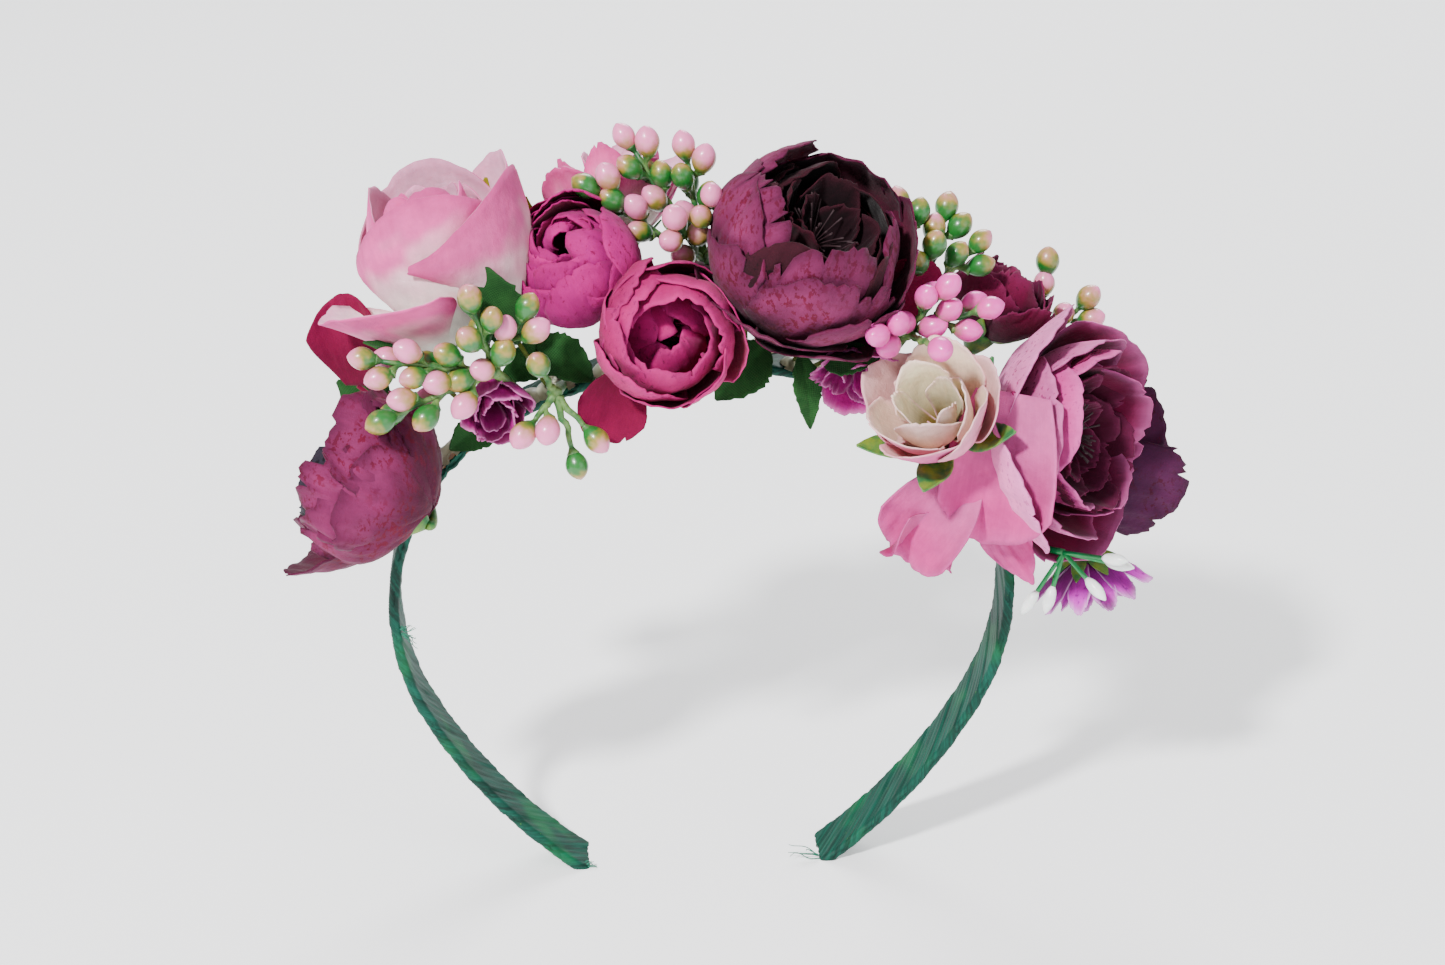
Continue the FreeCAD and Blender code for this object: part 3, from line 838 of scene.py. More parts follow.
class PetalPress:
    """Presses petals: turns whorls into thin closed sheets."""

    ROWS = 23
    COLUMNS = 31
    STEPS = 64
    CLOTH = 0.28
    WAVES = 6
    LEAN_CHANCE = 4
    LENGTH_CHANCE = 0.035
    WIDTH_CHANCE = 0.04
    TURN_CHANCE = 0.06
    NICK_CHANCE = 0.06
    NICK = 2.0
    WIDEST = 0.62
    LEAST_CIRCLE = 2.0
    MOST_BEND = 2.7

    def __init__(self, seed: int) -> None:
        """Starts with its own run of chance.

        Args:
            seed: Sets the small differences between petals.
        """
        self.rng = np.random.default_rng(seed)

    def waves(self, count: int, x: np.ndarray, y: np.ndarray, low: float, high: float) -> np.ndarray:
        """Smooth irregular relief: six sine waves with random headings, for each petal.

        Args:
            count: How many petals.
            x: Across each petal.
            y: Along each petal.
            low: The longest wave's number of radians.
            high: The shortest wave's number of radians.

        Returns:
            Relief of about unit height, as (petals, rows, columns).
        """
        total = np.zeros((count, *np.broadcast(x[0], y[0]).shape))
        for _ in range(self.WAVES):
            pace = self.rng.uniform(low, high, (count, 1, 1))
            heading = self.rng.uniform(0, 2 * math.pi, (count, 1, 1))
            phase = self.rng.uniform(0, 2 * math.pi, (count, 1, 1))
            total += np.sin(pace * (x * np.cos(heading) + y * np.sin(heading)) + phase)
        return total / 2.5

    def press(self, whorl: Whorl, order: float = 0.0) -> Surface:
        """Makes a whorl's petals.

        A petal's middle line starts on the base circle and turns through its three leans. Across,
        it bends round a circle that is wrap times as wide as its distance from the axis. The rim
        falls away to the corners, is torn by chance, waves, and rolls outwards.

        Args:
            whorl: The petals to make.
            order: How far in the whorl stands, from 0 for the outermost.

        Returns:
            The whorl's petals in the head's own frame.
        """
        n, rng = whorl.count, self.rng
        u = np.linspace(-1, 1, self.COLUMNS)[None, None, :]
        v = np.linspace(0, 1, self.ROWS)[None, :, None]
        edge = (n, 1, self.COLUMNS)
        tear = 0.8 * self.waves(n, u, 0 * v[:, :1], 4.0, 14.0) + 0.5 * rng.uniform(-1, 1, edge)
        tear = tear + self.NICK * (rng.random(edge) < self.NICK_CHANCE)
        rim = 1 - whorl.corner * np.abs(u) ** whorl.point - whorl.ragged * np.clip(tear, -0.6, 2.4)
        reach = v * np.clip(rim, 0.2, 1.1)
        t = np.linspace(0, 1, self.STEPS + 1)
        lean = np.radians(np.array(whorl.lean)[None] + rng.normal(0, self.LEAN_CHANCE, (n, 3)))
        bend = lean[:, :1] * (1 - t) ** 2 + 2 * lean[:, 1:2] * t * (1 - t) + lean[:, 2:] * t ** 2
        length = whorl.length * (1 + rng.normal(0, self.LENGTH_CHANCE, (n, 1)))
        step = length / self.STEPS
        none = np.zeros((n, 1))
        out, rise = (
            first + np.concatenate([none, np.cumsum(way * step, axis=1)[:, :-1]], axis=1)
            for first, way in ((whorl.start, np.sin(bend)), (whorl.height, np.cos(bend))))
        spot = np.clip(reach, 0, 1) * self.STEPS
        low = np.minimum(spot.astype(int), self.STEPS - 1)
        part = spot - low
        petal = np.arange(n)[:, None, None]

        def at(table: np.ndarray) -> np.ndarray:
            """Reads a table of the middle line between its steps."""
            return table[petal, low] * (1 - part) + table[petal, low + 1] * part

        radius, height, angle = at(out), at(rise), at(bend)
        swell = whorl.neck + (1 - whorl.neck) * np.sin(np.minimum(reach / self.WIDEST, 1) * math.pi / 2)
        side_tear = 1 + 0.5 * whorl.ragged * rng.uniform(-1, 1, (n, self.ROWS, 1))
        half = whorl.width / 2 * swell * side_tear * (1 + rng.normal(0, self.WIDTH_CHANCE, (n, 1, 1)))
        circle = whorl.wrap * np.maximum(np.abs(radius), self.LEAST_CIRCLE)
        arc = np.clip(u * half / circle, -self.MOST_BEND, self.MOST_BEND)
        aside, lift = circle * np.sin(arc), circle * (1 - np.cos(arc))
        lift = lift - whorl.roll * (np.abs(u) ** 3 * reach + reach ** 5)
        lift = lift + whorl.ruffle * reach ** 2 * self.waves(n, u, 0 * v, 3.0, 7.0)
        lift = lift + whorl.crumple * reach * self.waves(n, u, v, 2.0, 8.0)
        lift = lift + whorl.crumple * reach * (np.abs(self.waves(n, u * 1.5, v, 4.0, 12.0)) - 0.5)
        lift = lift + whorl.lap * u * np.minimum(reach * 2, 1)
        place = whorl.turn + (np.arange(n) + rng.normal(0, self.TURN_CHANCE, n)) * whorl.spread / n
        place = np.radians(place)[:, None, None]
        radius, height = radius - lift * np.cos(angle), height + lift * np.sin(angle)
        middle = np.stack([
            radius * np.cos(place) - aside * np.sin(place),
            radius * np.sin(place) + aside * np.cos(place), height], axis=-1)
        edge = np.maximum(np.abs(u) ** 7 * np.ones_like(v), v ** 7 * np.ones_like(u)) * np.ones((n, 1, 1))
        grid = np.ones_like(reach)
        values = {
            "along": reach, "across": u * grid, "rim": edge,
            "tone": rng.random((n, 1, 1)) * grid, "order": order * grid,
        }
        return shell(middle, self.CLOTH, values)


def blades(spans: list[tuple], press: PetalPress, arch: float, fold: float, ragged: float) -> Surface:
    """Leaf-shaped blades between points: leaves and sepals.

    A blade's width rises and falls as a sine along it, its halves fold up from the midrib, and
    its middle line arches towards its face.

    Args:
        spans: For each blade its base, its tip, the way it faces, and its width.
        press: Where chance comes from.
        arch: How high the middle line arches, as a share of the length.
        fold: How far the halves fold up, as a share of the half width.
        ragged: How frayed the edges are, as a share of the half width.

    Returns:
        One surface with every blade.
    """
    base, tip, face = (np.array([s[i] for s in spans], float)[:, None, None] for i in range(3))
    width = np.array([s[3] for s in spans], float)[:, None, None]
    n, rows, columns = len(spans), 25, 15
    u = np.linspace(-1, 1, columns)[None, None, :]
    t = np.linspace(0, 1, rows)[None, :, None]
    line = tip - base
    length = np.linalg.norm(line, axis=-1)
    ahead = line / length[..., None]
    up = unit(face - ahead * np.sum(face * ahead, axis=-1, keepdims=True))
    side = np.cross(ahead, up)
    outline = np.maximum(np.sin(math.pi * t ** 0.85) ** 0.8, 0.07)
    fray = 1 + ragged * press.rng.uniform(-1, 1, (n, rows, 1))
    half = width / 2 * outline * fray
    height = arch * length * np.sin(math.pi * t) + fold * np.abs(u) * half
    height = height + 0.05 * width * press.waves(n, u, t * 2, 1.5, 5.0) * np.sin(math.pi * t)
    middle = base + line * t[..., None] + side * (u * half)[..., None] + up * height[..., None]
    grid = np.ones((n, rows, columns))
    values = {
        "along": t * length / 20 * grid, "across": u * width / 20 * grid,
        "rim": np.abs(u) ** 6 * grid, "tone": press.rng.random((n, 1, 1)) * grid,
        "order": 0 * grid,
    }
    return shell(middle[..., ::-1, :], 0.35, {k: v[..., ::-1] for k, v in values.items()})


# --- the band -----------------------------------------------------------------------------------


@dataclass(frozen=True)
class Band:
    """The band's centreline and section, in millimetres and degrees.

    The way out of the band turns steadily from the right tip over the top to the left tip, so
    each arc is told by the centre it turns about and where its turning ends.
    """

    half_span: float = 66.5
    widest_height: float = 64.0
    shoulder_radius: float = 50.0
    shoulder_sweep: float = 58.0
    arm_radius: float = 54.0
    arm_sweep: float = 28.0
    tip_radius: float = 122.0
    tip_excess: float = 2.6
    half_width: float = 6.6
    half_thickness: float = 1.35
    lap_pitch: float = 10.5
    lap_starts: int = 3
    lap_height: float = 0.24

    def arcs(self) -> list[tuple[float, float, float, float, float]]:
        """Lists the arcs from the right tip to the left tip.

        Returns:
            For each arc its centre's X and Z, its radius, and its first and last angle.
        """
        s, a = math.radians(self.shoulder_sweep), math.radians(self.arm_sweep)
        inset = self.half_span - self.shoulder_radius
        top = self.shoulder_radius + inset / math.cos(s)
        top_z = self.widest_height - (top - self.shoulder_radius) * math.sin(s)
        tip_x = self.half_span - self.arm_radius + (self.arm_radius - self.tip_radius) * math.cos(a)
        tip_z = self.widest_height + (self.tip_radius - self.arm_radius) * math.sin(a)
        end = math.asin(tip_z / self.tip_radius) + self.tip_excess / self.tip_radius
        arm_x, z = self.half_span - self.arm_radius, self.widest_height
        return [
            (tip_x, tip_z, self.tip_radius, -end, -a), (arm_x, z, self.arm_radius, -a, 0.0),
            (inset, z, self.shoulder_radius, 0.0, s), (0.0, top_z, top, s, math.pi - s),
            (-inset, z, self.shoulder_radius, math.pi - s, math.pi),
            (-arm_x, z, self.arm_radius, math.pi, math.pi + a),
            (-tip_x, tip_z, self.tip_radius, math.pi + a, math.pi + end),
        ]

    def line(self, spacing: float) -> tuple[np.ndarray, np.ndarray, np.ndarray]:
        """Samples the centreline.

        Args:
            spacing: About how far apart the samples are.

        Returns:
            The distance along, the places, and the outward directions.
        """
        places, outs, walked, distance = [], [], [], 0.0
        for x, z, radius, first, last in self.arcs():
            steps = max(2, round(radius * (last - first) / spacing))
            angle = np.linspace(first, last, steps, endpoint=False)
            outs.append(np.stack([np.cos(angle), 0 * angle, np.sin(angle)], axis=-1))
            places.append(outs[-1] * radius + [x, 0, z])
            walked.append(distance + radius * (angle - first))
            distance += radius * (last - first)
        angle = last
        outs.append(np.array([[math.cos(angle), 0, math.sin(angle)]]))
        places.append(outs[-1] * radius + [x, 0, z])
        walked.append(np.array([distance]))
        return np.concatenate(walked), np.concatenate(places), np.concatenate(outs)

    def foot(self, point: tuple[float, float, float]) -> np.ndarray:
        """Finds where a stem from a point meets the band's outer face.

        Args:
            point: The stem's other end.

        Returns:
            The nearest place on the outer face, a little in from its edges.
        """
        _, places, outs = self.line(1.0)
        outer = places + outs * self.half_thickness
        gap = outer - np.array(point) * [1, 0, 1]
        nearest = np.argmin(np.linalg.norm(gap * [1, 0, 1], axis=1))
        foot = outer[nearest].copy()
        foot[1] = max(-4.0, min(4.0, point[1]))
        return foot


@dataclass(frozen=True)
class TapeWinding:
    """The floral tape: a crown piece and an arm piece on each side, in millimetres.

    Attributes:
        band: The band it's wound on.
        seam_height: Where the arm pieces end.
        corner: The radius of the section's corners.
        round_points: How many points the section has.
        gap: Where the tape has slipped off the strip: its place, its reach along the band, its
            place round the section, and its reach there.
        gap_depth: How far it lies below the tape there.
    """

    band: Band
    seam_height: float = 86.0
    corner: float = 0.9
    round_points: int = 60
    gap: tuple[tuple[float, float, float], float, float, float] = ((-52.1, 0, 99.1), 3.0, 18.0, 6.5)
    gap_depth: float = 1.1

    def section(self) -> tuple[np.ndarray, np.ndarray, float]:
        """Samples the tape's outline across the band: a rectangle with rounded corners.

        Returns:
            The outline's points as (out, across), how far round each is, and the whole distance.
        """
        corner = self.corner
        wide, thick = self.band.half_width - corner, self.band.half_thickness - corner
        angle = np.linspace(0, math.pi / 2, 6)
        rounds = []
        for number, (out, across) in enumerate(((thick, wide), (-thick, wide), (-thick, -wide),
                                                (thick, -wide))):
            a = angle + number * math.pi / 2
            rounds.append(np.stack([out + corner * np.cos(a), across + corner * np.sin(a)], axis=-1))
        outline = np.concatenate(rounds)
        closed = np.concatenate([outline, outline[:1]])
        walked = np.concatenate([[0], np.cumsum(np.linalg.norm(np.diff(closed, axis=0), axis=1))])
        even = np.linspace(0, walked[-1], self.round_points, endpoint=False)
        points = np.stack([np.interp(even, walked, closed[:, i]) for i in range(2)], axis=-1)
        return points, even, walked[-1]

    def surface(self, keep: np.ndarray, distance: np.ndarray, places: np.ndarray,
                outs: np.ndarray) -> Surface:
        """Winds the tape on a stretch of the band.

        The outline is drawn at every sample. It stands out by the lap height times a saw-tooth of
        the distance along plus the share of the way round, so each turn laps the one before at a
        slant.

        Args:
            keep: Which samples the stretch holds.
            distance: The distance along at every sample.
            places: The centreline's places.
            outs: The outward directions.

        Returns:
            A closed surface.
        """
        outline, way, whole = self.section()
        walked, place, out = distance[keep][:, None], places[keep], outs[keep]
        turns = (walked + 0.7 * np.sin(walked / 17) + 0.5 * np.sin(walked / 7.3)) / self.band.lap_pitch
        phase = turns + self.band.lap_starts * way[None] / whole
        saw = phase - np.floor(phase)
        lap = np.where(saw < 0.96, saw / 0.96, (1 - saw) / 0.04)
        sink = self.band.lap_height * (lap - 1)
        slant = walked + self.band.lap_starts * self.band.lap_pitch * way[None] / whole
        pleat = 0.06 * np.sin(slant * 2.3 + way * 0.3) + 0.04 * np.sin(slant * 4.7 - way * 0.4 + 1)
        sink = sink + pleat - 0.1
        spot = np.linalg.norm(place - self.gap[0], axis=1)[:, None] / self.gap[1]
        face = np.exp(-((way[None] - self.gap[2]) / self.gap[3]) ** 4)
        sink = sink - self.gap_depth * np.exp(-spot ** 4) * face
        facing = unit(outline * [1 / self.band.half_thickness, 1 / self.band.half_width] ** np.array(3))
        across = outline[None] + facing[None] * sink[..., None]
        points = place[:, None] + out[:, None] * across[..., :1] + np.array([0, 1.0, 0]) * across[..., 1:]
        tangent = np.stack([-out[:, 2], 0 * out[:, 0], out[:, 0]], axis=-1)[:, None]
        points = points + tangent * (np.maximum(-points[..., 2:], 0) / tangent[..., 2:])
        rows, columns = saw.shape
        index = np.arange(rows * columns).reshape(rows, columns)
        turned = np.roll(index, -1, axis=1)
        quads = np.stack([index[:-1], index[1:], turned[1:], turned[:-1]], axis=-1).reshape(-1, 4)
        ends = points[[0, -1]].mean(axis=1)
        first = np.stack([np.full(columns, rows * columns), index[0], turned[0]], axis=-1)
        last = np.stack([np.full(columns, rows * columns + 1), turned[-1], index[-1]], axis=-1)
        pad = np.array([0.0, 0.0])
        grid = np.ones_like(saw)
        values = {
            "along": np.concatenate([(slant * grid).ravel(), pad]),
            "across": np.concatenate([(way[None] * grid).ravel(), pad]),
            "rim": np.concatenate([lap.ravel(), pad]), "tone": np.zeros(rows * columns + 2),
            "inside": np.zeros(rows * columns + 2),
        }
        uv = np.stack([values["along"], values["across"]], axis=-1)
        points = np.concatenate([points.reshape(-1, 3), ends])
        return Surface(points, quads, np.concatenate([first, last]), np.zeros(len(quads), bool), uv, values)

    def build(self) -> None:
        """Makes the three pieces. The crown piece rides on the crown; each arm's piece is baked in place
        and rides on no body.
        """
        distance, places, outs = self.band.line(0.5)
        height, side = places[:, 2], np.sign(places[:, 0])
        material = FINISHES["floral_tape"]
        crown = self.surface(height >= self.seam_height - 1, distance, places, outs)
        fit(make_piece("tape_crown_look", crown, material), "crown", ["tape_crown"])
        for word, sign in (("left", -1), ("right", 1)):
            keep = (height <= self.seam_height) & (side == sign)
            arm = make_piece(f"tape_{word}_arm_look", self.surface(keep, distance, places, outs), material)
            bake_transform(arm)
            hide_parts(f"tape_{word}_arm")
            LOG.info("%s bends between the crown and the %s arm", arm.name, word)
        for node in ("core_crown", "core_left_arm", "core_right_arm"):
            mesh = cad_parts[node].data
            mesh.materials.clear()
            mesh.materials.append(FINISHES["strip_plastic"])


@dataclass(frozen=True)
class Fray:
    """Loose ends of the tape's thread, in millimetres.

    Attributes:
        tufts: For each tuft its arm, its root, the way it lies, and its length.
        count: How many threads a tuft has.
        seed: Sets the threads' small differences.
    """

    tufts: tuple[tuple, ...] = (
        ("left", (-65.2, -6.2, 60.5), (1.0, -0.3, 0.15), 3.2),
        ("left", (-65.0, -6.2, 59.5), (0.9, -0.2, -0.6), 4.2),
        ("right", (26.0, -5.6, 0.6), (-1.0, 0.0, 0.06), 7.0),
        ("left", (-26.5, -5.6, 0.6), (1.0, 0.1, 0.1), 2.2),
    )
    count: int = 6
    seed: int = 501

    def build(self, band: Band) -> None:
        """Makes each tuft as a few wavering threads.

        Args:
            band: Not used.
        """
        rng = np.random.default_rng(self.seed)
        t = np.linspace(0, 1, 12)[None, :, None]
        for number, (word, root, way, length) in enumerate(self.tufts):
            count = self.count
            start = np.array(root) + rng.normal(0, 0.35, (count, 1, 3))
            ahead = unit(np.array(way) + rng.normal(0, 0.22, (count, 1, 3)))
            waver = rng.normal(0, 0.5, (count, 1, 3)) * np.sin(math.pi * t * rng.uniform(0.8, 2.2,
                (count, 1, 1)))
            paths = start + ahead * t * length * rng.uniform(0.5, 1.1, (count, 1, 1)) + waver * t
            paths[..., 2] = np.maximum(paths[..., 2], 0.12)
            radii = np.repeat(0.14 - 0.07 * t[..., 0], count, axis=0)
            threads = tubes(paths, radii, 5, rng.random(count))
            piece = make_piece(f"fray_{number}", threads, FINISHES["loose_thread"])
            fit(piece, f"{word}_arm", [])


# --- flower heads -------------------------------------------------------------------------------


@dataclass(frozen=True)
class Layer:
    """The petals that make one CAD node.

    Attributes:
        node: The CAD node they stand for.
        finish: Their material's key.
        slot: A slot name; not used.
        whorls: The petals, from the outside in.
    """

    node: str
    finish: str
    slot: str
    whorls: tuple[Whorl, ...]


@dataclass(frozen=True)
class Head:
    """A flower head.

    Attributes:
        name: The flower's name.
        centre: Its middle.
        facing: The way it looks.
        depth: How far behind its middle the calyx begins.
        layers: Its petals.
        up: The way its local Y leans.
        stamens: How many threads stand in its heart, and how long they are.
        sepals: How many sepals it shows, how long, and how far they lean from the axis.
        shift: How far the petals stand from the middle, to fill the head as pressed.
        seed: Sets its small differences.
    """

    name: str
    centre: tuple[float, float, float]
    facing: tuple[float, float, float]
    depth: float
    layers: tuple[Layer, ...]
    up: tuple[float, float, float] = (0.0, 0.0, 1.0)
    stamens: tuple[int, float] = (0, 0.0)
    sepals: tuple[int, float, float] = (5, 8.0, 60.0)
    shift: tuple[float, float, float] = (0.0, 0.0, 0.0)
    seed: int = 1

    def build(self, band: Band) -> None:
        """Makes the head's petals, its stamens, and its calyx and stem.

        Args:
            band: What the stem runs to.
        """
        turn, centre = facing_frame(self.facing, self.up), np.array(self.centre, float)
        press = PetalPress(self.seed)
        for layer in self.layers:
            petals = joined([press.press(w, n / len(layer.whorls)) for n, w in enumerate(layer.whorls)])
            petals = petals.placed(turn, centre + self.shift)
            piece = make_piece(f"{layer.node}_look", petals, FINISHES[layer.finish])
            fit(piece, "crown", [layer.node])
        if self.stamens[0]:
            self.build_stamens(press, turn, centre)
        self.build_calyx(press, turn, centre, band)

    def build_stamens(self, press: PetalPress, turn: np.ndarray, centre: np.ndarray) -> None:
        """Makes a tuft of bent threads with a knot on each end.

        Args:
            press: Where chance comes from.
            turn: The head's directions.
            centre: The head's middle.
        """
        count, length = self.stamens
        rng = press.rng
        angle, lean = rng.uniform(0, 2 * math.pi, count), rng.uniform(0.1, 0.75, count)
        t = np.linspace(0, 1, 9)[None, :]
        sway = lean[:, None] * t ** 1.5 * length
        path = np.stack([
            np.cos(angle)[:, None] * sway, np.sin(angle)[:, None] * sway,
            t * length * rng.uniform(0.75, 1.0, (count, 1)) - 1.0], axis=-1)
        radii = 0.14 + 0.3 * np.exp(-((t - 0.94) / 0.05) ** 2) * np.ones((count, 1))
        surface = tubes(path, radii, 6, rng.random(count)).placed(turn, centre + self.shift)
        piece = make_piece(f"{self.name}_stamens_look", surface, FINISHES["stamen_thread"])
        fit(piece, "crown", [f"{self.name}_stamens"])

    def build_calyx(self, press: PetalPress, turn: np.ndarray, centre: np.ndarray, band: Band) -> None:
        """Makes the cone under the head, its sepals, and the stem to the band.

        Args:
            press: Where chance comes from.
            turn: The head's directions.
            centre: The head's middle.
            band: What the stem runs to.
        """
        z = turn[2]
        top, seat = centre - z * (self.depth - 1.0), centre - z * (self.depth + 4.5)
        foot = band.foot(tuple(seat))
        t = np.linspace(0, 1, 14)[:, None]
        stem = seat * (1 - t) ** 2 + (seat - z * 3) * 2 * t * (1 - t) + foot * t ** 2
        cup = top + (seat - top) * np.linspace(0, 1, 8)[:, None]
        reach = min(self.depth * 0.3, 4.0)
        cup_radii = reach * (1 - np.linspace(0, 1, 8) ** 1.6) + 1.1
        cup_radii[0] *= 0.6
        one = press.rng.random(1)
        parts = [tubes(stem[None], np.full((1, 14), 1.0), 10, one),
                 tubes(cup[None], cup_radii[None], 16, one)]
        count, length, lean = self.sepals
        if count:
            spans = []
            for number in range(count):
                a = 2 * math.pi * (number + press.rng.uniform(-0.1, 0.1)) / count
                out = turn[0] * math.cos(a) + turn[1] * math.sin(a)
                tilt = math.radians(lean)
                way = out * math.sin(tilt) + z * math.cos(tilt)
                base = top - z * 1.5 + out * reach * 0.6
                spans.append((base, base + way * length, out * math.cos(tilt) - z * math.sin(tilt),
                              length * 0.42))
            parts.append(blades(spans, press, 0.08, -0.15, 0.03))
        piece = make_piece(f"{self.name}_calyx_look", joined(parts), FINISHES["calyx_plastic"])
        fit(piece, "crown", [f"{self.name}_calyx"])


def ball(count: int, radius: float, bottom: float, closing: float, width: float, turn: float,
         **more) -> Whorl:
    """A whorl of petals that lie on a ball, from its underside up.

    Args:
        count: How many petals.
        radius: The ball's radius.
        bottom: The height of the ball's underside.
        closing: The lean at the rim. -90 closes the ball at the top.
        width: A petal's width, as a share of the radius.
        turn: The direction of the first petal.
        more: Any other measures of the whorl.

    Returns:
        The whorl.
    """
    length = radius * math.radians(86 - closing)
    lean = (86.0, (86.0 + closing) / 2, closing)
    return Whorl(count, 0.8, bottom, length, width * radius, lean, turn, **more)


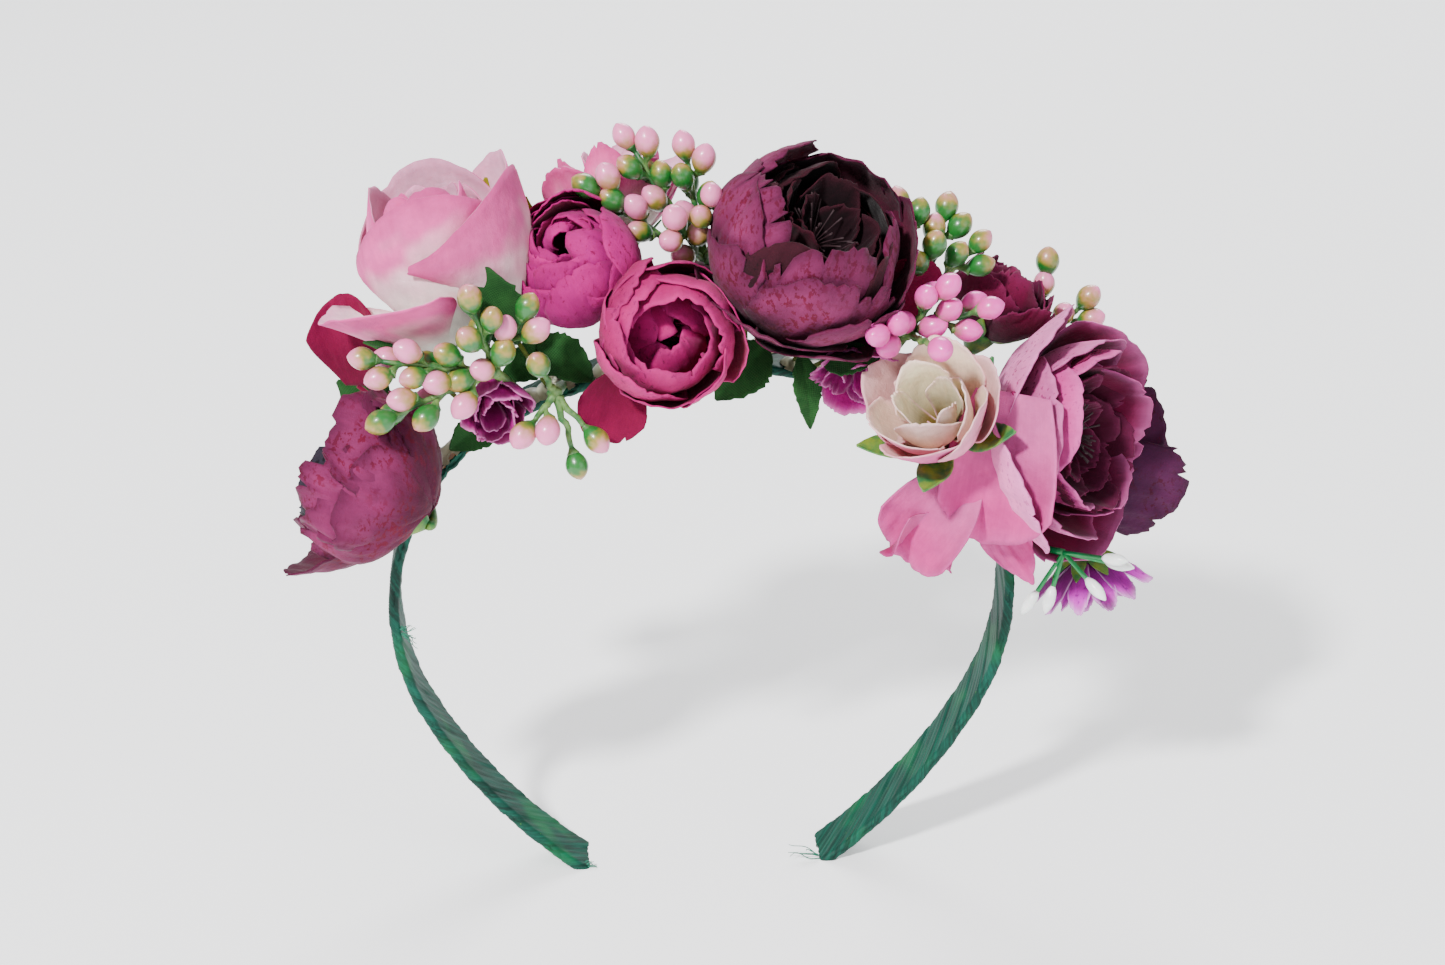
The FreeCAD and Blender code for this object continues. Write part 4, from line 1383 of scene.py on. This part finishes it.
def large_heads() -> list[Head]:
    """Lists the heads made of an outer and an inner layer.

    Returns:
        The large heads.
    """
    torn = {"ragged": 0.04, "crumple": 0.55, "ruffle": 0.8, "corner": 0.2, "point": 2.4}
    rough = {**torn, "crumple": 0.95, "ruffle": 1.0}
    calm = {**torn, "ragged": 0.015, "ruffle": 0.5}
    wrapped = {"corner": 0.32, "point": 1.6, "roll": 2.0, "ruffle": 0.5, "crumple": 0.3, "ragged": 0.012,
               "lap": -1.8}
    rolled = {"corner": 0.34, "point": 1.5, "roll": 3.4, "ruffle": 0.4, "crumple": 0.25, "ragged": 0.006}
    return [
        Head("centre_peony", (21, -11, 145), (0.36, -0.52, 0.77), 16, (
            Layer("centre_peony_outer_petals", "mauve_petals", "mauve_petals", (
                Whorl(2, 3.0, -18.5, 30, 40, (94, 30, 30), 215, 110, 1.3, roll=1.4,
                      **{**torn, "corner": 0.4, "point": 1.3}),
                ball(3, 20.5, -18.5, -16, 1.75, 205, roll=1.4, **{**torn, "spread": 230}),
                ball(4, 20.0, -18.2, -34, 1.8, 150, roll=1.2, **torn),
                ball(5, 19.0, -17.6, -48, 1.5, 176, roll=1.0, **torn))),
            Layer("centre_peony_inner_petals", "burgundy_petals", "burgundy_petals", (
                ball(5, 16.6, -15.4, -46, 1.5, 10, roll=1.0, **{**torn, "ragged": 0.02}),
                ball(5, 13.8, -12.8, -40, 1.5, 40, roll=1.0, **{**torn, "ragged": 0.02}),
                Whorl(5, 1.2, -9, 23, 15, (62, 0, 4), 40, roll=1.0, **{**torn, "ragged": 0.02}),
                Whorl(4, 1.0, -7, 18, 10, (50, 0, 8), 5, roll=0.8, **{**torn, "ragged": 0.02})))),
            stamens=(22, 11.0), seed=11),
        Head("left_peony", (-74, -19, 99), (-0.86, 0.28, 0.36), 14, (
            Layer("left_peony_outer_petals", "mauve_petals", "mauve_petals", (
                Whorl(1, 2.6, -14.6, 36, 36, (84, 44, 20), 262, 360, 1.2, roll=1.0, **rough),
                Whorl(3, 2.4, -15.0, 27, 30, (88, 22, 2), 20, 260, 1.1, roll=1.0, **rough),
                ball(4, 17.6, -15.2, 4, 1.75, 20, roll=1.0, **rough),
                ball(4, 17.0, -14.9, -16, 1.65, 65, roll=0.6, **rough),
                ball(4, 16.2, -14.4, -30, 1.55, 10, roll=0.6, **rough))),
            Layer("left_peony_inner_petals", "grey_petals", "mauve_petals", (
                Whorl(5, 1.8, -13.5, 27.5, 24, (80, -4, -10), 10, roll=1.0, **calm),
                Whorl(5, 1.2, -10, 22, 15, (66, 0, -4), 30, roll=1.0, **calm),
                Whorl(4, 1.0, -8, 17, 9, (50, 0, 2), 0, roll=1.0, **calm)))),
            shift=(4.0, 0.5, 1.8), seed=23),
        Head("blush_rose", (-58, -4, 143), (-0.2, 0.12, 0.97), 18, (
            Layer("blush_rose_outer_petals", "blush_petals", "blush_petals", (
                Whorl(1, 2.4, -15.5, 30, 42, (92, 42, 50), 206, 360, 1.3, **{**rolled, "roll": 1.4}),
                Whorl(1, 2.3, -15, 43, 62, (88, -6, -14), 314, **wrapped),
                Whorl(1, 1.9, -14.6, 41, 60, (88, -4, -14), 222, **wrapped),
                Whorl(2, 1.8, -14.4, 43, 54, (88, -6, -14), 20, 150, 1.0, **wrapped))),
            Layer("blush_rose_inner_petals", "blush_petals", "blush_petals", (
                Whorl(3, 1.7, -12.5, 36, 36, (80, -10, -30), 290,
                      **{**rolled, "roll": 1.0, "ragged": 0.02}),
                Whorl(3, 1.4, -10, 31, 24, (60, -8, -20), 240, **{**rolled, "roll": 0.8}),
                Whorl(2, 1.0, -8, 26, 13, (36, -6, -6), 220, **{**rolled, "roll": 0.8})))),
            up=(0, 1, 0), shift=(5.0, -0.5, -3.0), seed=31),
        Head("left_ranunculus", (-26, -4, 141), (-0.35, -0.6, 0.72), 12.2, (
            Layer("left_ranunculus_outer_petals", "pink_petals", "pink_petals", (
                ball(3, 13.2, -12.6, -34, 2.1, 262, corner=0.2, roll=0.8, ragged=0.012),
                ball(4, 12.6, -12.3, -48, 1.9, 310, corner=0.22, roll=0.7, ragged=0.012))),
            Layer("left_ranunculus_inner_petals", "pink_petals", "pink_petals", (
                ball(4, 11.8, -11.6, -58, 1.9, 20, corner=0.18, roll=0.6, ragged=0.012),
                ball(3, 10.8, -10.6, -62, 2.1, 80, corner=0.12, roll=0.5),
                ball(3, 10.2, -10.4, -84, 2.3, 130, corner=0.08, roll=0.3),
                Whorl(3, 1.4, -9, 25, 17, (80, -4, -34), 20, roll=0.3, corner=0.2),
                Whorl(3, 0.8, -7, 19, 10, (60, -4, -20), 50, roll=0.3, corner=0.2)))),
            seed=41),
        Head("middle_ranunculus", (-8, -19, 130), (0.12, -0.95, 0.28), 12.5, (
            Layer("middle_ranunculus_outer_petals", "crimson_petals", "crimson_petals", (
                ball(4, 13.6, -12.9, -20, 2.0, 275, corner=0.22, roll=1.2, ragged=0.015),
                ball(4, 12.9, -12.6, -40, 2.0, 320, corner=0.2, roll=0.8, ragged=0.015))),
            Layer("middle_ranunculus_inner_petals", "crimson_petals", "crimson_petals", (
                ball(3, 12.0, -11.8, -54, 2.3, 262, corner=0.06, roll=0.5),
                ball(3, 11.2, -11.0, -50, 2.2, 322, corner=0.06, roll=0.4),
                ball(3, 9.6, -16.4, -80, 2.1, 290, corner=0.1, roll=0.2),
                ball(3, 8.8, -16.0, -86, 2.1, 230, corner=0.1, roll=0.2)))),
            seed=53),
        Head("right_rose", (76, -9, 101), (0.78, -0.6, 0.15), 12, (
            Layer("right_rose_outer_petals", "rose_petals", "pink_petals", (
                Whorl(4, 3.0, -13.0, 34, 38, (94, 36, 10), 200, 360, 1.3, roll=1.6, crumple=0.5),
                Whorl(4, 2.5, -12.2, 33, 36, (90, 18, -6), 245, 360, 1.1, roll=1.6, crumple=0.5),
                Whorl(5, 2.5, -11.5, 31, 30, (86, 10, -12), 10, roll=1.4, crumple=0.5))),
            Layer("right_rose_inner_petals", "wine_petals", "burgundy_petals", (
                Whorl(6, 2.0, -10, 26, 20, (78, 12, 12), 30, roll=1.2, crumple=0.4, ragged=0.03),
                Whorl(6, 1.6, -9, 22, 16, (70, 8, 18), 0, roll=1.0, crumple=0.4, ragged=0.03),
                Whorl(5, 1.4, -8, 17, 12, (58, 6, 20), 30, roll=0.8, crumple=0.3, ragged=0.03)))),
            stamens=(30, 9.0), shift=(-1.5, -0.5, 2.0), seed=61),
        Head("plum_peony", (92, 24, 86), (0.7, 0.7, -0.1), 12, (
            Layer("plum_peony_outer_petals", "plum_petals", "plum_petals", (
                Whorl(5, 2.5, -12.5, 27, 26, (94, 34, 30), 200, 360, 1.2, roll=1.4, **torn),
                Whorl(5, 2.0, -11.8, 26, 22, (88, 16, 8), 236, 360, 1.05, roll=0.8, **torn))),
            Layer("plum_peony_inner_petals", "plum_petals", "plum_petals", (
                Whorl(5, 1.5, -9.5, 23, 17, (74, 6, 4), 10, roll=0.8, **torn),
                Whorl(5, 1.0, -7.5, 17, 12, (56, 4, 8), 40, roll=0.6, **torn)))),
            shift=(-4.0, -2.0, 0.5), seed=71),
    ]


def small_heads() -> list[Head]:
    """Lists the heads whose petals are one bunch.

    Returns:
        The small heads.
    """
    pointed = {"corner": 0.36, "point": 1.5, "ruffle": 0.3, "crumple": 0.2, "lap": 1.2}
    frilled = {"corner": 0.25, "point": 2.0, "ruffle": 0.5, "crumple": 0.3, "ragged": 0.04, "lap": 0.8}
    narrow = {"corner": 0.3, "point": 2.2, "roll": 0.2, "ruffle": 0.3, "crumple": 0.2, "neck": 0.4,
              "lap": 0.3}
    return [
        Head("pale_rose", (-17, 17, 150), (-0.1, 0.3, 0.95), 10.5, (
            Layer("pale_rose_petals", "blush_petals", "blush_petals", (
                Whorl(4, 1.5, -10.5, 24, 24, (88, 10, 16), 40, 360, 1.05, roll=1.6, **pointed),
                Whorl(3, 1.2, -9.5, 24, 20, (78, 0, -4), 80, roll=1.0, **pointed),
                Whorl(3, 1.0, -7, 19, 12, (50, -4, 0), 30, roll=0.6, **pointed))),),
            up=(0, 1, 0), seed=81),
        Head("cream_rosebud", (45, -27, 116), (-0.35, -0.55, 0.76), 10, (
            Layer("cream_rosebud_petals", "cream_petals", "blush_petals", (
                Whorl(3, 1.3, -9.5, 22, 26, (88, 10, 14), 285, 360, 1.05, roll=1.6, **pointed),
                Whorl(3, 1.2, -9, 23, 23, (86, 2, 4), 225, roll=1.2, **pointed),
                Whorl(3, 1.0, -8, 19, 17, (78, -2, -2), 150, roll=0.8, **pointed),
                Whorl(3, 0.9, -7, 15, 10, (62, -4, 0), 200, roll=0.6, **pointed))),),
            sepals=(5, 17.0, 66.0), shift=(0.5, 0.5, -1.0), seed=91),
        Head("mauve_rose", (65, 11, 127), (0.5, 0.2, 0.85), 9.5, (
            Layer("mauve_rose_petals", "wine_petals", "plum_petals", (
                ball(4, 10.4, -9.8, -10, 1.9, 200, roll=1.0, **frilled),
                ball(4, 9.8, -9.4, -36, 1.8, 245, roll=0.8, **frilled),
                ball(3, 8.4, -8.2, -50, 1.8, 20, roll=0.6, **frilled))),),
            seed=101),
        Head("purple_bud", (-43, -19, 115), (0.15, -0.95, -0.25), 7.3, (
            Layer("purple_bud_petals", "magenta_petals", "magenta_petals", (
                Whorl(4, 1.0, -6.6, 12.5, 12, (86, 0, -8), 30, roll=0.7, **frilled),
                Whorl(4, 0.8, -6.2, 11.5, 9.5, (76, -4, -16), 70, roll=0.5, **frilled),
                Whorl(3, 0.6, -5.6, 9.5, 6, (54, 0, -6), 10, roll=0.3, **frilled))),),
            sepals=(4, 6.0, 60.0), seed=111),
        Head("lilac_bud", (32, -12.5, 118.5), (-0.2, -0.85, -0.5), 5.8, (
            Layer("lilac_bud_petals", "magenta_petals", "lilac_petals", (
                Whorl(4, 0.9, -5.6, 13, 13, (86, 14, 22), 60, 360, 1.05, roll=1.0, **frilled),
                Whorl(4, 0.8, -5.4, 11, 9.5, (74, 6, 6), 100, roll=0.6, **frilled),
                Whorl(3, 0.6, -5.0, 9, 6, (54, 4, 4), 30, roll=0.4, **frilled))),),
            sepals=(4, 6.0, 60.0), seed=121),
        Head("lilac_daisy", (84, -5, 68), (0.25, -0.1, -0.96), 5, (
            Layer("lilac_daisy_petals", "lilac_petals", "lilac_petals", (
                Whorl(11, 1.5, -4.5, 14.5, 5.4, (74, 40, 46), 0, 360, 1.4, **narrow),
                Whorl(9, 1.2, -3.8, 11.5, 4.8, (60, 26, 30), 16, 360, 1.4, **narrow))),),
            up=(0, 1, 0), sepals=(6, 8.0, 62.0), seed=131),
    ]


# --- sprays, leaves and loose petals ------------------------------------------------------------


def islands(node: str) -> np.ndarray:
    """Finds the middles of the separate solids of a CAD node.

    Args:
        node: The node's name.

    Returns:
        The middle of each solid's box, in millimetres.
    """
    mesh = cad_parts[node].data
    points = np.empty(len(mesh.vertices) * 3)
    mesh.vertices.foreach_get("co", points)
    _, label = np.unique(np.round(points.reshape(-1, 3) / MM, 3), axis=0, return_inverse=True)
    places = np.zeros((label.max() + 1, 3))
    places[label.ravel()] = points.reshape(-1, 3) / MM
    edges = np.empty(len(mesh.edges) * 2, np.int32)
    mesh.edges.foreach_get("vertices", edges)
    a, b = label.ravel()[edges.reshape(-1, 2)].T
    group = np.arange(len(places))
    while True:
        least = np.minimum(group[a], group[b])
        new = group.copy()
        np.minimum.at(new, a, least)
        np.minimum.at(new, b, least)
        new = new[new]
        if (new == group).all():
            break
        group = new
    return np.array([(places[group == g].max(0) + places[group == g].min(0)) / 2 for g in np.unique(group)])


@dataclass(frozen=True)
class Spray:
    """A twig spray of berries.

    Attributes:
        node: The berries' CAD node. The twigs' node has _twigs after it.
        joint: Where the branches part.
        tips: Where each branch ends.
        finish: The berries' material.
        green: The least and most of the green on them, from 0 to 1.
        seed: Sets its small differences.
    """

    node: str
    joint: tuple[float, float, float]
    tips: tuple[tuple[float, float, float], ...]
    finish: str = "pale_berries"
    green: tuple[float, float] = (0.0, 1.0)
    seed: int = 1

    def build(self, band: Band) -> None:
        """Makes the berries where the CAD berries are, and a soft twig to each.

        Args:
            band: What the main stem runs to.
        """
        rng = np.random.default_rng(self.seed)
        joint, tips = np.array(self.joint, float), np.array(self.tips, float)
        berries = islands(self.node)
        lines = unit(tips - joint)
        reach = np.einsum("bk,tk->bt", berries - joint, lines)
        aside = np.linalg.norm((berries - joint)[:, None] - reach[..., None] * lines[None], axis=-1)
        past = np.maximum(reach - np.linalg.norm(tips - joint, axis=-1)[None], 0) + np.maximum(-reach, 0)
        owner = np.argmin(aside + past, axis=1)
        along = lines[owner]
        out = np.maximum(reach[np.arange(len(berries)), owner] - 5.5, 0.0)
        fork = joint + along * out[:, None]
        way = unit(unit(berries - fork) + along * 0.35)
        self.build_berries(berries, way, rng)
        t = np.linspace(0, 1, 10)[None, :, None]
        end = berries - way * 2.2
        bend = fork + along * 0.45 * np.linalg.norm(end - fork, axis=1, keepdims=True)
        stalks = fork[:, None] * (1 - t) ** 2 + bend[:, None] * 2 * t * (1 - t) + end[:, None] * t ** 2
        swell = 0.45 + 0.95 * np.clip((t[..., 0] - 0.5) / 0.5, 0, 1) ** 1.5
        parts = [tubes(stalks, np.repeat(swell, len(berries), axis=0), 8, rng.random(len(berries)))]
        foot = band.foot(self.joint)
        ends = tips - lines * 3.5
        branches = joint + (ends - joint)[:, None] * t + rng.normal(0, 0.25,
            (len(tips), 10, 3)) * np.sin(math.pi * t)
        parts.append(tubes(branches, np.repeat(0.85 - 0.3 * t[..., 0], len(tips), axis=0), 8,
                           rng.random(len(tips))))
        main = foot + (joint - foot) * t[0]
        parts.append(tubes(main[None], np.full((1, 10), 1.15), 10, rng.random(1)))
        knot = joint + lines.mean(axis=0) * np.linspace(-1.8, 1.8, 7)[:, None]
        parts.append(tubes(knot[None], np.array([[0.5, 1.2, 1.6, 1.7, 1.6, 1.2, 0.5]]), 10, rng.random(1)))
        piece = make_piece(f"{self.node}_twigs_look", joined(parts), FINISHES["twig_plastic"])
        fit(piece, "crown", [f"{self.node}_twigs"])

    def build_berries(self, berries: np.ndarray, way: np.ndarray, rng: np.random.Generator) -> None:
        """Makes the berries: blunt eggs with their small end on the stalk.

        Args:
            berries: Their middles.
            way: The way each points, from its stalk to its tip.
            rng: Where chance comes from.
        """
        t = np.linspace(0, 1, 17)
        profile = np.sin(math.pi * np.clip(t, 0.004, 0.996)) ** 0.62 * (0.86 + 0.2 * t)
        size = rng.uniform(0.95, 1.08, (len(berries), 1))
        paths = berries[:, None] + way[:, None] * ((t - 0.48) * 6.7)[None, :, None] * size[..., None]
        surface = tubes(paths, 2.5 * profile[None] * size, 20, rng.uniform(*self.green, len(berries)))
        piece = make_piece(f"{self.node}_look", surface, FINISHES[self.finish])
        fit(piece, "crown", [self.node])


def sprays() -> list[Spray]:
    """Lists the berry sprays.

    Returns:
        The sprays.
    """
    return [
        Spray("left_berries", (-43, -24, 125),
              ((-47, -30, 142), (-36, -25, 138), (-68, -30, 130), (-65, -32, 118)), seed=3),
        Spray("hanging_berries", (-31, -21, 119),
              ((-34, -27, 127), (-37, -28, 113), (-23, -24, 110), (-27, -25, 105)), seed=4),
        Spray("top_berries", (1, 2, 138),
              ((-23, 0, 156), (-15, 4, 165), (-3, 3, 163), (-6, -12, 152), (3, -10, 155)),
              green=(0.1, 1.15), seed=5),
        Spray("upper_right_berries", (45, -3, 131),
              ((42, 4, 150), (52, 6, 148), (58, 0, 142), (47, -8, 144)), green=(0.55, 1.1), seed=6),
        Spray("pink_berries", (41, -15, 128),
              ((34, -27, 132), (48, -20, 139), (57, -18, 134), (45, -34, 131)), "vivid_berries", seed=7),
        Spray("back_berries", (76, 21, 112), ((76, 18, 131), (85, 16, 124), (94, 18, 108)),
              green=(0.4, 1.1), seed=8),
    ]


@dataclass(frozen=True)
class LeafGroup:
    """Leaves that share a CAD node.

    Attributes:
        node: The CAD node.
        spans: For each leaf its base, its tip, the way it faces, and its width.
        seed: Sets its small differences.
        olive: Paler leaves that stand against a flower, told in the same way.
    """

    node: str
    spans: tuple[tuple, ...]
    seed: int
    olive: tuple[tuple, ...] = ()

    def build(self, band: Band) -> None:
        """Makes the leaves and a wire stalk to the band for each.

        Args:
            band: What the stalks run to.
        """
        press = PetalPress(self.seed)
        parts = [blades(list(self.spans), press, 0.08, 0.35, 0.10)]
        if self.olive:
            pale = blades(list(self.olive), press, 0.06, 0.15, 0.10)
            pale.values["order"] += 1
            parts.append(pale)
        t = np.linspace(0, 1, 6)[:, None]
        for base, tip, _, _ in self.spans:
            start = np.array(base, float)
            path = start + (band.foot(base) - start) * t
            wire = tubes(path[None], np.full((1, 6), 0.5), 6, press.rng.random(1))
            wire.values["order"] += 0.3
            parts.append(wire)
        piece = make_piece(f"{self.node}_look", joined(parts), FINISHES["leaf_fabric"])
        fit(piece, "crown", [self.node])


def leaf_groups() -> list[LeafGroup]:
    """Lists the leaves.

    Returns:
        The groups of leaves.
    """
    return [
        LeafGroup("left_leaves", (
            ((-38, -16, 128), (-48, -19, 147), (0.2, -1, 0.1), 11),
            ((-57, -17, 123), (-69, -19, 130), (0.1, -0.5, 1), 4),
            ((-34, -9, 127), (-23, -12, 118), (0.1, -1, 0.2), 9),
            ((-43, -9, 111), (-53, -10, 103), (0.1, -1, 0.1), 8),
            ((-30, -8, 126), (-42, -11, 118), (-0.1, -1, 0.2), 8),
            ((-36, 10, 130), (-40, 14, 154), (-0.4, 0.9, 0.2), 13),
            ((-62, 12, 96), (-78, 20, 108), (-0.4, 1, 0.2), 12)), 201,
            (((-38, 3, 129), (-36, 4, 153), (0.6, -0.8, 0.2), 9),
             ((-46, 14, 134), (-44, 12, 155), (0.2, -0.9, 0.2), 10))),
        LeafGroup("centre_leaves", (
            ((13, -9, 124), (2, -14, 114), (-0.2, -1, 0.3), 11),
            ((20, -8, 122), (22, -11, 106), (0.2, -1, 0.1), 6),
            ((24, -12, 121), (36, -17, 124), (0.1, -1, 0.5), 7),
            ((10, 12, 125), (-4, 18, 134), (0.2, 1, 0.4), 12),
            ((38, 12, 122), (52, 18, 134), (0.2, 1, 0.5), 12)), 202),
    ]


@dataclass(frozen=True)
class LoosePetals:
    """Single large petals that share a CAD node.

    Attributes:
        node: The CAD node.
        finish: Their material.
        slot: A slot name; not used.
        petals: For each petal its base, the way it grows, the way its face looks, and its shape.
        seed: Sets their small differences.
    """

    node: str
    finish: str
    slot: str
    petals: tuple[tuple, ...]
    seed: int

    def build(self, band: Band) -> None:
        """Makes the petals and a wire stalk to the band for each.

        Args:
            band: What the stalks run to.
        """
        press = PetalPress(self.seed)
        parts = []
        t = np.linspace(0, 1, 6)[:, None]
        for base, grow, face, whorl in self.petals:
            ahead = unit(np.array(grow, float))
            look = np.array(face, float)
            inwards = unit(look - ahead * look.dot(ahead))
            turn = np.array([-inwards, np.cross(ahead, -inwards), ahead])
            start = np.array(base, float)
            parts.append(press.press(whorl).placed(turn, start))
            path = start + (band.foot(base) - start) * t
            parts.append(tubes(path[None], np.full((1, 6), 0.5), 6, press.rng.random(1)))
        piece = make_piece(f"{self.node}_look", joined(parts), FINISHES[self.finish])
        fit(piece, "crown", [self.node])


def loose_petals() -> list[LoosePetals]:
    """Lists the loose petals.

    Returns:
        The groups of loose petals.
    """
    one = {"start": 0.0, "height": 0.0}
    return [
        LoosePetals("turned_petals", "turned_petals", "crimson_petals", (
            ((-72, 0, 114), (-0.1, 0.1, 1), (-0.3, -0.9, 0.4),
             Whorl(1, length=20, width=19, lean=(6, 0, -14), wrap=8, corner=0.45, ragged=0.006, neck=0.3,
                   **one)),
            ((-16, -17, 122), (-0.45, -0.1, -1), (0.1, -1, 0.1),
             Whorl(1, length=16, width=16, lean=(4, -6, -10), wrap=8, corner=0.4, ragged=0.03, neck=0.35,
                   **one)),
            ((33, -8, 131), (1, -0.1, 0.45), (-0.1, -0.9, 0.4),
             Whorl(1, length=17, width=16, lean=(4, 10, 16), wrap=8, corner=0.4, ragged=0.02, neck=0.4,
                   **one))), 301),
        LoosePetals("right_rose_skirt", "skirt_petals", "pink_petals", (
            ((62, -25, 118), (-0.15, -0.15, -1), (-0.25, -0.93, 0.15),
             Whorl(1, length=35, width=27, lean=(-8, 4, 22), wrap=8, corner=0.3, point=2.0, neck=0.6,
                   crumple=0.6,
                   ruffle=0.5, ragged=0.012, **one)),
            ((53, -24, 99), (-0.75, 0, -0.9), (-0.3, -0.9, 0.1),
             Whorl(1, length=24, width=23, lean=(-12, 4, 26), wrap=5, corner=0.36, point=2.0, neck=0.4,
                   crumple=0.45,
                   ruffle=0.3, ragged=0.012, **one)),
            ((45, -25, 92), (-0.2, 0.1, -1), (-0.2, -0.9, -0.1),
             Whorl(1, length=16, width=20, lean=(8, 20, 34), wrap=3, corner=0.42, point=2.0, neck=0.5,
                   crumple=0.35,
                   ruffle=0.2, ragged=0.01, **one)),
            ((57, -22, 92), (0.7, -0.1, -1), (0.1, -0.95, -0.2),
             Whorl(1, length=22, width=12, lean=(0, 6, 16), wrap=8, corner=0.7, point=1.2, neck=0.5,
                   crumple=0.8,
                   ragged=0.012, **one))), 302),
    ]


@dataclass(frozen=True)
class BudSprig:
    """White plastic buds on bright green stalks, in millimetres.

    Attributes:
        seed: Sets their small differences.
        joint: Where the stalks part.
        buds: The middle of each bud.
    """

    seed: int = 401
    joint: tuple[float, float, float] = (76, -15, 78)
    buds: tuple[tuple[float, float, float], ...] = ((87, -20, 77), (82, -21, 72), (69, -16, 67),
                                                    (73, -17, 68), (85, -24, 80))

    def build(self, band: Band) -> None:
        """Makes the buds and their stalks.

        Args:
            band: What the stalk runs to.
        """
        rng = np.random.default_rng(self.seed)
        joint, buds = np.array(self.joint, float), np.array(self.buds, float)
        way = unit(buds - joint)
        t = np.linspace(0, 1, 9)
        starts = buds - way * 3.0
        paths = starts[:, None] + way[:, None] * (t * 6.2)[None, :, None]
        profile = np.array([0.5, 0.95, 1.2, 1.3, 1.35, 1.3, 1.05, 0.7, 0.2])
        surface = tubes(paths, np.tile(profile, (len(buds), 1)), 8, rng.random(len(buds)))
        fit(make_piece("white_buds_look", surface, FINISHES["white_plastic"]), "crown", ["white_buds"])
        stalks = joint + (starts + way * 0.6 - joint)[:, None] * t[None, :, None]
        main = joint + (band.foot(self.joint) - joint) * t[:, None]
        thin, thick = np.full((len(buds), 9), 0.5), np.full((1, 9), 0.8)
        parts = [tubes(stalks, thin, 8, rng.random(len(buds))), tubes(main[None], thick, 8, rng.random(1))]
        piece = make_piece("white_bud_stalks_look", joined(parts), FINISHES["bright_stalk"])
        fit(piece, "crown", ["white_bud_stalks"])


# --- the stage ----------------------------------------------------------------------------------


class Lamp(Enum):
    """The studio lamps: place, size, and power in watts."""

    KEY = ((-0.9, -1.3, 1.5), 0.22, 80.0)
    FILL = ((1.2, -1.1, 0.7), 1.20, 8.0)
    BACK = ((0.3, 1.3, 1.2), 1.00, 24.0)


@dataclass(frozen=True)
class Studio:
    """A pale seamless sweep, soft lamps and the camera, in metres and degrees.

    Attributes:
        azimuth: The camera's direction round the crown.
        elevation: How far above level it stands.
        distance: How far it is from the target.
        target: What it looks at.
        lens: Its focal length in millimetres.
        sky: The colour of the light from all round.
        sky_strength: How strong that light is.
        floor_half: Half the floor's width.
    """

    azimuth: float = -4.0
    elevation: float = 22.0
    distance: float = 0.560
    target: tuple[float, float, float] = (0.0044, 0.0, 0.090)
    lens: float = 65.1
    sky: str = "#f6f9fc"
    sky_strength: float = 0.66
    floor_half: float = 4.0

    def build(self) -> None:
        """Makes the floor, the lamps, the world and the camera."""
        self.build_floor()
        for lamp in Lamp:
            place, size, power = lamp.value
            data = bpy.data.lights.new(f"lamp_{lamp.name.lower()}", "AREA")
            data.shape, data.size, data.energy = "DISK", size, power
            item = bpy.data.objects.new(data.name, data)
            item.location = place
            item.rotation_euler = (Vector(self.target) - Vector(place)).to_track_quat("-Z", "Y").to_euler()
            bpy.context.scene.collection.objects.link(item)
        world = bpy.data.worlds.new("studio")
        world.use_nodes = True
        world.node_tree.nodes["Background"].inputs["Color"].default_value = srgb(self.sky)
        world.node_tree.nodes["Background"].inputs["Strength"].default_value = self.sky_strength
        bpy.context.scene.world = world
        azimuth, elevation = math.radians(self.azimuth), math.radians(self.elevation)
        back = Vector((math.sin(azimuth) * math.cos(elevation), -math.cos(azimuth) * math.cos(elevation),
                       math.sin(elevation)))
        data = bpy.data.cameras.new("camera")
        data.lens, data.sensor_width, data.clip_start = self.lens, 36.0, 0.01
        camera = bpy.data.objects.new("camera", data)
        camera.location = Vector(self.target) + back * self.distance
        camera.rotation_euler = (-back).to_track_quat("-Z", "Y").to_euler()
        bpy.context.scene.collection.objects.link(camera)
        bpy.context.scene.camera = camera

    def build_floor(self) -> None:
        """Makes a large pale floor under the tips."""
        mesh = bpy.data.meshes.new("floor")
        half = self.floor_half
        mesh.from_pydata([(-half, -half, 0), (half, -half, 0), (half, half, 0), (-half, half, 0)], [],
                         [(0, 1, 2, 3)])
        mesh.materials.append(PlainStuff("pale paper sweep", "#fbfbfc", 0.9, glow=0.4).make())
        floor = bpy.data.objects.new("floor", mesh)
        bpy.context.scene.collection.objects.link(floor)


def write_sizes() -> None:
    """Updates the view layer."""
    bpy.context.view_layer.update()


def main() -> None:
    """Builds the crown's looks in order: band, flowers, sprays, leaves, and then the studio."""
    logging.basicConfig(level=logging.INFO, format="%(message)s")
    band = Band()
    TapeWinding(band).build()
    for item in [*large_heads(), *small_heads(), *sprays(), *leaf_groups(), *loose_petals(), BudSprig(),
                 Fray()]:
        item.build(band)
    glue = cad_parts["glue_dabs"].data
    glue.materials.clear()
    glue.materials.append(FINISHES["hot_glue"])
    Studio().build()
    write_sizes()


if __name__ == "__main__":
    main()
